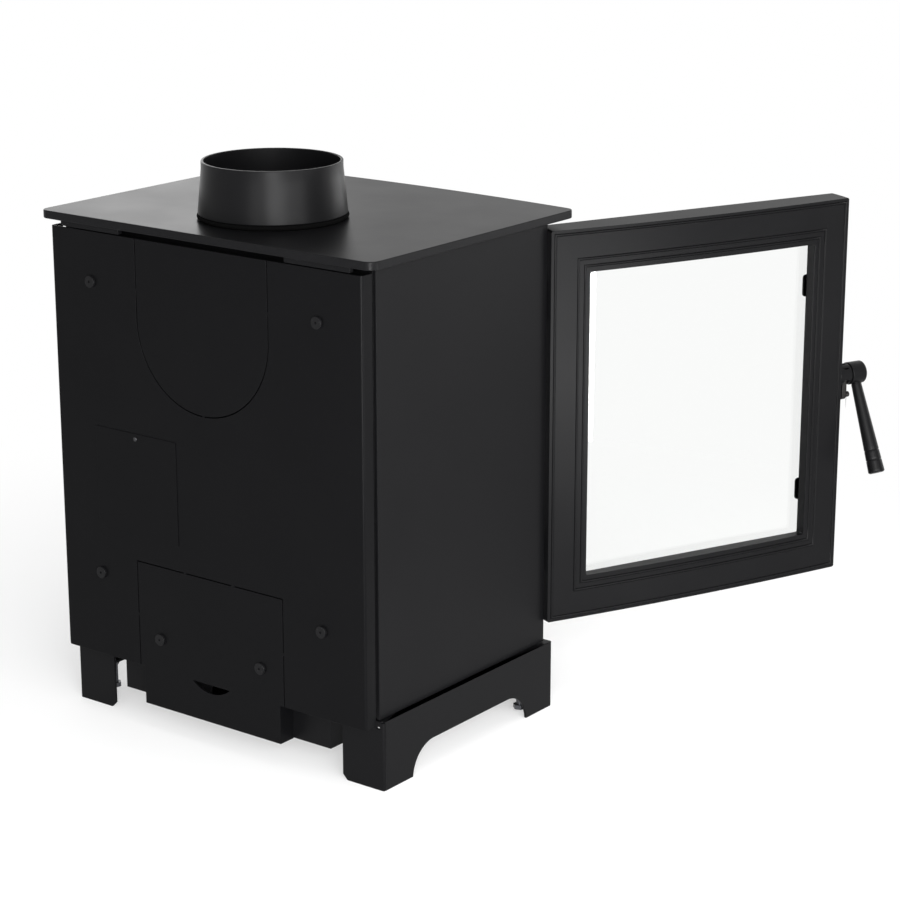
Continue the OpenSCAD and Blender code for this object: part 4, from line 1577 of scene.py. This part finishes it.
    def follow_bow(self, piece: bpy.types.Object, leaf: Leaf, front: float) -> None:
        """Gives the bowed face the bow's own normals, so that it shades evenly round the beads.

        Args:
            piece: The casting, with a plain mesh.
            leaf: The door's directions.
            front: The place of the beads' foremost line along the door's thickness.
        """
        nearly = math.cos(math.radians(2))
        middle = front + self.bow_radius(leaf)
        mesh = piece.data
        normals = [corner.vector.copy() for corner in mesh.corner_normals]
        for polygon in mesh.polygons:
            for corner in polygon.loop_indices:
                place = leaf.local(mesh.vertices[mesh.loops[corner].vertex_index].co)
                bowed = (leaf.across * place.x + leaf.inward * (place.y - middle)).normalized()
                if polygon.normal.dot(bowed) > nearly:
                    normals[corner] = bowed
        mesh.normals_split_custom_set(normals)

    def sweep(self, mesh: bmesh.types.BMesh, leaf: Leaf, middle: tuple[float, float], front: float,
              profile: Sequence[tuple[float, float]]) -> None:
        """Sweeps a closed profile round the bowed face.

        Args:
            mesh: The mesh that gets the faces.
            leaf: The door's directions.
            middle: From the door's middle to the profile's own middle, across and up.
            front: The place of the beads' foremost line along the door's thickness.
            profile: Points as distance outwards and height above the face.
        """
        steps = 24
        near = 1e-7
        bow_radius = self.bow_radius(leaf)
        wide, high = middle
        corners = [(-wide, -high), (wide, -high), (wide, high), (-wide, high)]
        path = [(x0 + (x1 - x0) * i / steps, z0 + (z1 - z0) * i / steps)
                for (x0, z0), (x1, z1) in zip(corners, corners[1:] + corners[:1]) for i in range(steps)]
        rings = []
        for x, z in path:
            side_x = math.copysign(1, x) if abs(abs(x) - wide) < near else 0
            side_z = math.copysign(1, z) if abs(abs(z) - high) < near else 0
            section = []
            for out, rise in profile:
                across = x + side_x * out
                drum = bow_radius - self.bead_height + rise
                depth = front + bow_radius - math.sqrt(drum * drum - across * across)
                section.append(mesh.verts.new(leaf.world(Vector((across, depth, z + side_z * out)))))
            rings.append(section)
        for first, second in zip(rings, rings[1:] + rings[:1]):
            wall(mesh, first, second)

    def half_width(self, leaf: Leaf) -> float:
        """Half the width of the door's face, from the glass and its place in the frame.

        Args:
            leaf: The door's directions.

        Returns:
            The half width in metres.
        """
        low, high = leaf.span("door_glass")
        return (high.x - low.x) / 2 + self.glass_lap

    def clips(self, leaf: Leaf, fasteners: FastenerSet) -> None:
        """Rounds the clips' corners and sets their screws.

        Args:
            leaf: The door's directions.
            fasteners: The set that places screws.
        """
        square = 60
        near = 0.01 * MM
        corner_segments = 6
        mesh = merged("glass_clips")
        low, high = leaf.span("glass_clips")
        thickness = high.y - low.y
        corners = []
        for edge in sharp_edges(mesh, square):
            first, second = [leaf.local(vert.co).y for vert in edge.verts]
            if abs(abs(first - second) - thickness) < near:
                corners.append(edge)
        bevel(mesh, corners, self.clip_corner, corner_segments)
        softened(mesh, "glass_clips", self.clip_edge, degrees=FACETED)
        screw = Fastener(head_width=6.8 * MM, head_height=2.4 * MM, shank=4 * MM, length=9 * MM,
                         socket=Socket.HEXAGON, socket_width=2 * MM, dome=0.6)
        points = []
        for solid in solids("clip_screws"):
            low, high = box_of([leaf.local(co) for co in solid])
            points.append(leaf.world(Facing.REAR.seat(low, high, screw.head_height)))
        facing = leaf.inward.to_track_quat("Z", "Y").to_matrix()
        fasteners.place("clip_screws", screw, points, facing, seed=6)

    def seal(self, leaf: Leaf, rope: bpy.types.NodeTree) -> None:
        """Lays the rope round the back of the door.

        Args:
            leaf: The door's directions.
            rope: The tree that winds rope.
        """
        steps = 8
        low, high = leaf.span("door_rope")
        height = high.y - low.y
        depth = (low.y + high.y) / 2
        path = []
        for x, z, start in ((high.x, high.z, 0), (low.x, high.z, 1), (low.x, low.z, 2), (high.x, low.z, 3)):
            sign = Vector((1 if x == high.x else -1, 0, 1 if z == high.z else -1))
            middle = Vector((x, depth, z)) - sign * (self.rope_width / 2 + self.rope_corner)
            for i in range(steps + 1):
                angle = math.pi / 2 * (start + i / steps)
                turn = Vector((math.cos(angle), 0, math.sin(angle)))
                path.append(leaf.world(middle + turn * self.rope_corner))
        seal = RopeSeal("door_rope", self.rope_width, height, leaf.inward, strand_share=0.34, lay=22 * MM)
        seal.lay_along(rope, path)


@dataclass
class Handle:
    """The latch on the door's free edge: boss, washer, hub, lever, spindle and cam."""

    cast_edge: float = 0.8 * MM
    cam_edge: float = 0.5 * MM
    lever_edge: float = 0.25 * MM
    turned_edge: float = 0.2 * MM
    spindle_edge: float = 0.4 * MM

    def build(self) -> None:
        """Builds the handle."""
        rounded("handle_boss", self.cast_edge, degrees=FACETED, joined=False)
        rounded("handle_hub", self.cast_edge, segments=3, degrees=FACETED, joined=False)
        rounded("handle_lever", self.lever_edge, degrees=FACETED)
        rounded("latch_cam", self.cam_edge, degrees=FACETED, joined=False)
        rounded("hub_screw", self.turned_edge, degrees=FACETED)
        rounded("handle_washer", self.turned_edge, degrees=FACETED)
        rounded("handle_spindle", self.spindle_edge, degrees=FACETED)


# ---- Studio ----

@dataclass
class Studio:
    """A plain pale floor, a white surround and soft lamps, with the camera at the photograph's angle."""

    azimuth: float = 217.125
    tilt: float = 16.244
    place: tuple[float, float, float] = (-1.75459, 2.00247, 1.08086)
    lens: float = 101.89
    shift: tuple[float, float] = (-0.00361, 0.00227)
    surround: float = 0.5
    floor_colour: str = "#f6f6f6"

    def build(self) -> None:
        """Builds the camera, the floor, the world and the lamps."""
        self.camera()
        self.world()
        self.floor()
        self.lamps()

    def axes(self) -> tuple[Vector, Vector, Vector]:
        """Works out the camera's directions.

        Returns:
            Its right, up and backward directions.
        """
        turn, tilt = math.radians(self.azimuth), math.radians(self.tilt)
        back = Vector((math.sin(turn) * math.cos(tilt), -math.cos(turn) * math.cos(tilt), math.sin(tilt)))
        right = Vector((math.cos(turn), math.sin(turn), 0))
        return right, back.cross(right), back

    def camera(self) -> None:
        """Sets the camera where the photograph was taken from."""
        data = bpy.data.cameras.new("camera")
        data.sensor_width = 36.0
        data.lens = self.lens
        data.shift_x, data.shift_y = self.shift
        data.clip_start, data.clip_end = 0.05, 100.0
        camera = bpy.data.objects.new("camera", data)
        right, up, back = self.axes()
        turn = Matrix((right, up, back)).transposed()
        camera.matrix_world = Matrix.Translation(self.place) @ turn.to_4x4()
        bpy.context.collection.objects.link(camera)
        bpy.context.scene.camera = camera

    @staticmethod
    def seen(tree: bpy.types.NodeTree) -> bpy.types.NodeSocket:
        """Adds the test for rays that show the background: from the eye, a reflection or through glass.

        Args:
            tree: The material's or world's tree.

        Returns:
            A value of 1 for such a ray.
        """
        path = add_node(tree, "ShaderNodeLightPath")
        either = add_node(tree, "ShaderNodeMath", {"operation": "MAXIMUM"},
                          {0: path.outputs["Is Camera Ray"], 1: path.outputs["Is Glossy Ray"]})
        return add_node(tree, "ShaderNodeMath", {"operation": "MAXIMUM"},
                        {0: either.outputs[0], 1: path.outputs["Is Transmission Ray"]}).outputs[0]

    def world(self) -> None:
        """Lights the stove evenly from a pale surround that looks white."""
        world = bpy.data.worlds.new("pale surround")
        bpy.context.scene.world = world
        world.use_nodes = True
        tree = world.node_tree
        tree.nodes.clear()
        dim, white = [add_node(tree, "ShaderNodeBackground", {"Color": (1, 1, 1, 1), "Strength": strength})
                      for strength in (self.surround, 1.0)]
        mix = add_node(tree, "ShaderNodeMixShader", None,
                       {0: self.seen(tree), 1: dim.outputs[0], 2: white.outputs[0]})
        add_node(tree, "ShaderNodeOutputWorld", None, {"Surface": mix.outputs[0]})

    def floor(self) -> None:
        """Lays a round pale floor that turns into the white surround a little way off."""
        radius = 9.0
        below_feet = 0.2 * MM
        fade = (0.3, 1.2)
        share_of_white = (0.45, 1.0)
        mesh = bmesh.new()
        bmesh.ops.create_circle(mesh, cap_ends=True, segments=96, radius=radius)
        data = bpy.data.meshes.new("floor")
        mesh.to_mesh(data)
        mesh.free()
        data.transform(Matrix.Translation((0, 0, -below_feet)))
        floor = bpy.data.objects.new("floor", data)
        bpy.context.collection.objects.link(floor)
        material, tree, place = new_shader("pale seamless floor")
        away = add_node(tree, "ShaderNodeVectorMath", {"operation": "LENGTH"}, {0: place})
        whiter = ranged(tree, away.outputs["Value"], fade, share_of_white, "SMOOTHSTEP")
        share = add_node(tree, "ShaderNodeMath", {"operation": "MULTIPLY"}, {0: whiter, 1: self.seen(tree)})
        matt = add_node(tree, "ShaderNodeBsdfDiffuse", {"Color": linear(self.floor_colour)})
        white = add_node(tree, "ShaderNodeEmission", {"Strength": 1.0})
        mix = add_node(tree, "ShaderNodeMixShader", None,
                       {0: share.outputs[0], 1: matt.outputs[0], 2: white.outputs[0]})
        add_node(tree, "ShaderNodeOutputMaterial", None, {"Surface": mix.outputs[0]})
        data.materials.append(material)

    def lamp(self, name: str, turn: float, height: float, distance: float, size: tuple[float, float],
             power: float) -> None:
        """Adds one soft box that faces the stove.

        Args:
            name: The lamp's name.
            turn: Degrees round the stove from the camera, towards the picture's right.
            height: The box's middle above the floor.
            distance: How far it stands from the flue's axis.
            size: Its width and height.
            power: Its power in watts.
        """
        target = Vector((0, 0, 0.35))
        right, _, back = self.axes()
        level = Vector((back.x, back.y, 0)).normalized()
        angle = math.radians(turn)
        place = (level * math.cos(angle) + right * math.sin(angle)) * distance + Vector((0, 0, height))
        data = bpy.data.lights.new(name, "AREA")
        data.shape = "RECTANGLE"
        data.size, data.size_y = size
        data.energy = power
        lamp = bpy.data.objects.new(name, data)
        lamp.location = place
        lamp.rotation_mode = "QUATERNION"
        lamp.rotation_quaternion = (target - place).to_track_quat("-Z", "Y")
        lamp.visible_camera = False
        bpy.context.collection.objects.link(lamp)

    def lamps(self) -> None:
        """Sets out the soft boxes: strong ones by the camera, and weaker ones low down, behind and above."""
        self.lamp("soft box by the camera", 10, 1.1, 3.0, (1.6, 1.6), 115)
        self.lamp("low small soft box by the camera", 4, 0.2, 1.5, (0.45, 0.32), 15)
        self.lamp("soft box left of the camera", -22, 1.0, 3.0, (1.0, 1.4), 20)
        self.lamp("soft box right of the camera", 40, 1.0, 3.0, (1.5, 1.4), 46)
        self.lamp("small soft box beside the door", 64, 0.16, 1.31, (0.35, 0.3), 4.2)
        self.lamp("low soft box ahead on the right", 106, 0.3, 2.4, (1.4, 0.8), 5)
        self.lamp("soft box beside the collar", 125, 0.62, 1.5, (0.9, 0.4), 4.5)
        self.lamp("soft box behind left", -161, 0.95, 3.0, (1.7, 1.2), 11)
        self.lamp("overhead soft box", 60, 3.0, 0.8, (2.0, 2.0), 16)


def main() -> None:
    """Builds the studio and the stove, piece by piece."""
    logging.basicConfig(level=logging.INFO, format="%(message)s")
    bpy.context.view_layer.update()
    Studio().build()
    fasteners = FastenerSet()
    rope = rope_tree()
    bpy.context.scene.view_settings.view_transform = "Standard"
    Plinth().build(fasteners)
    Shell().build()
    Top().build(fasteners, rope)
    RearShield().build(fasteners)
    Firebox().build()
    AirControl().build()
    Door().build(fasteners, rope)
    Handle().build()


if __name__ == "__main__":
    main()
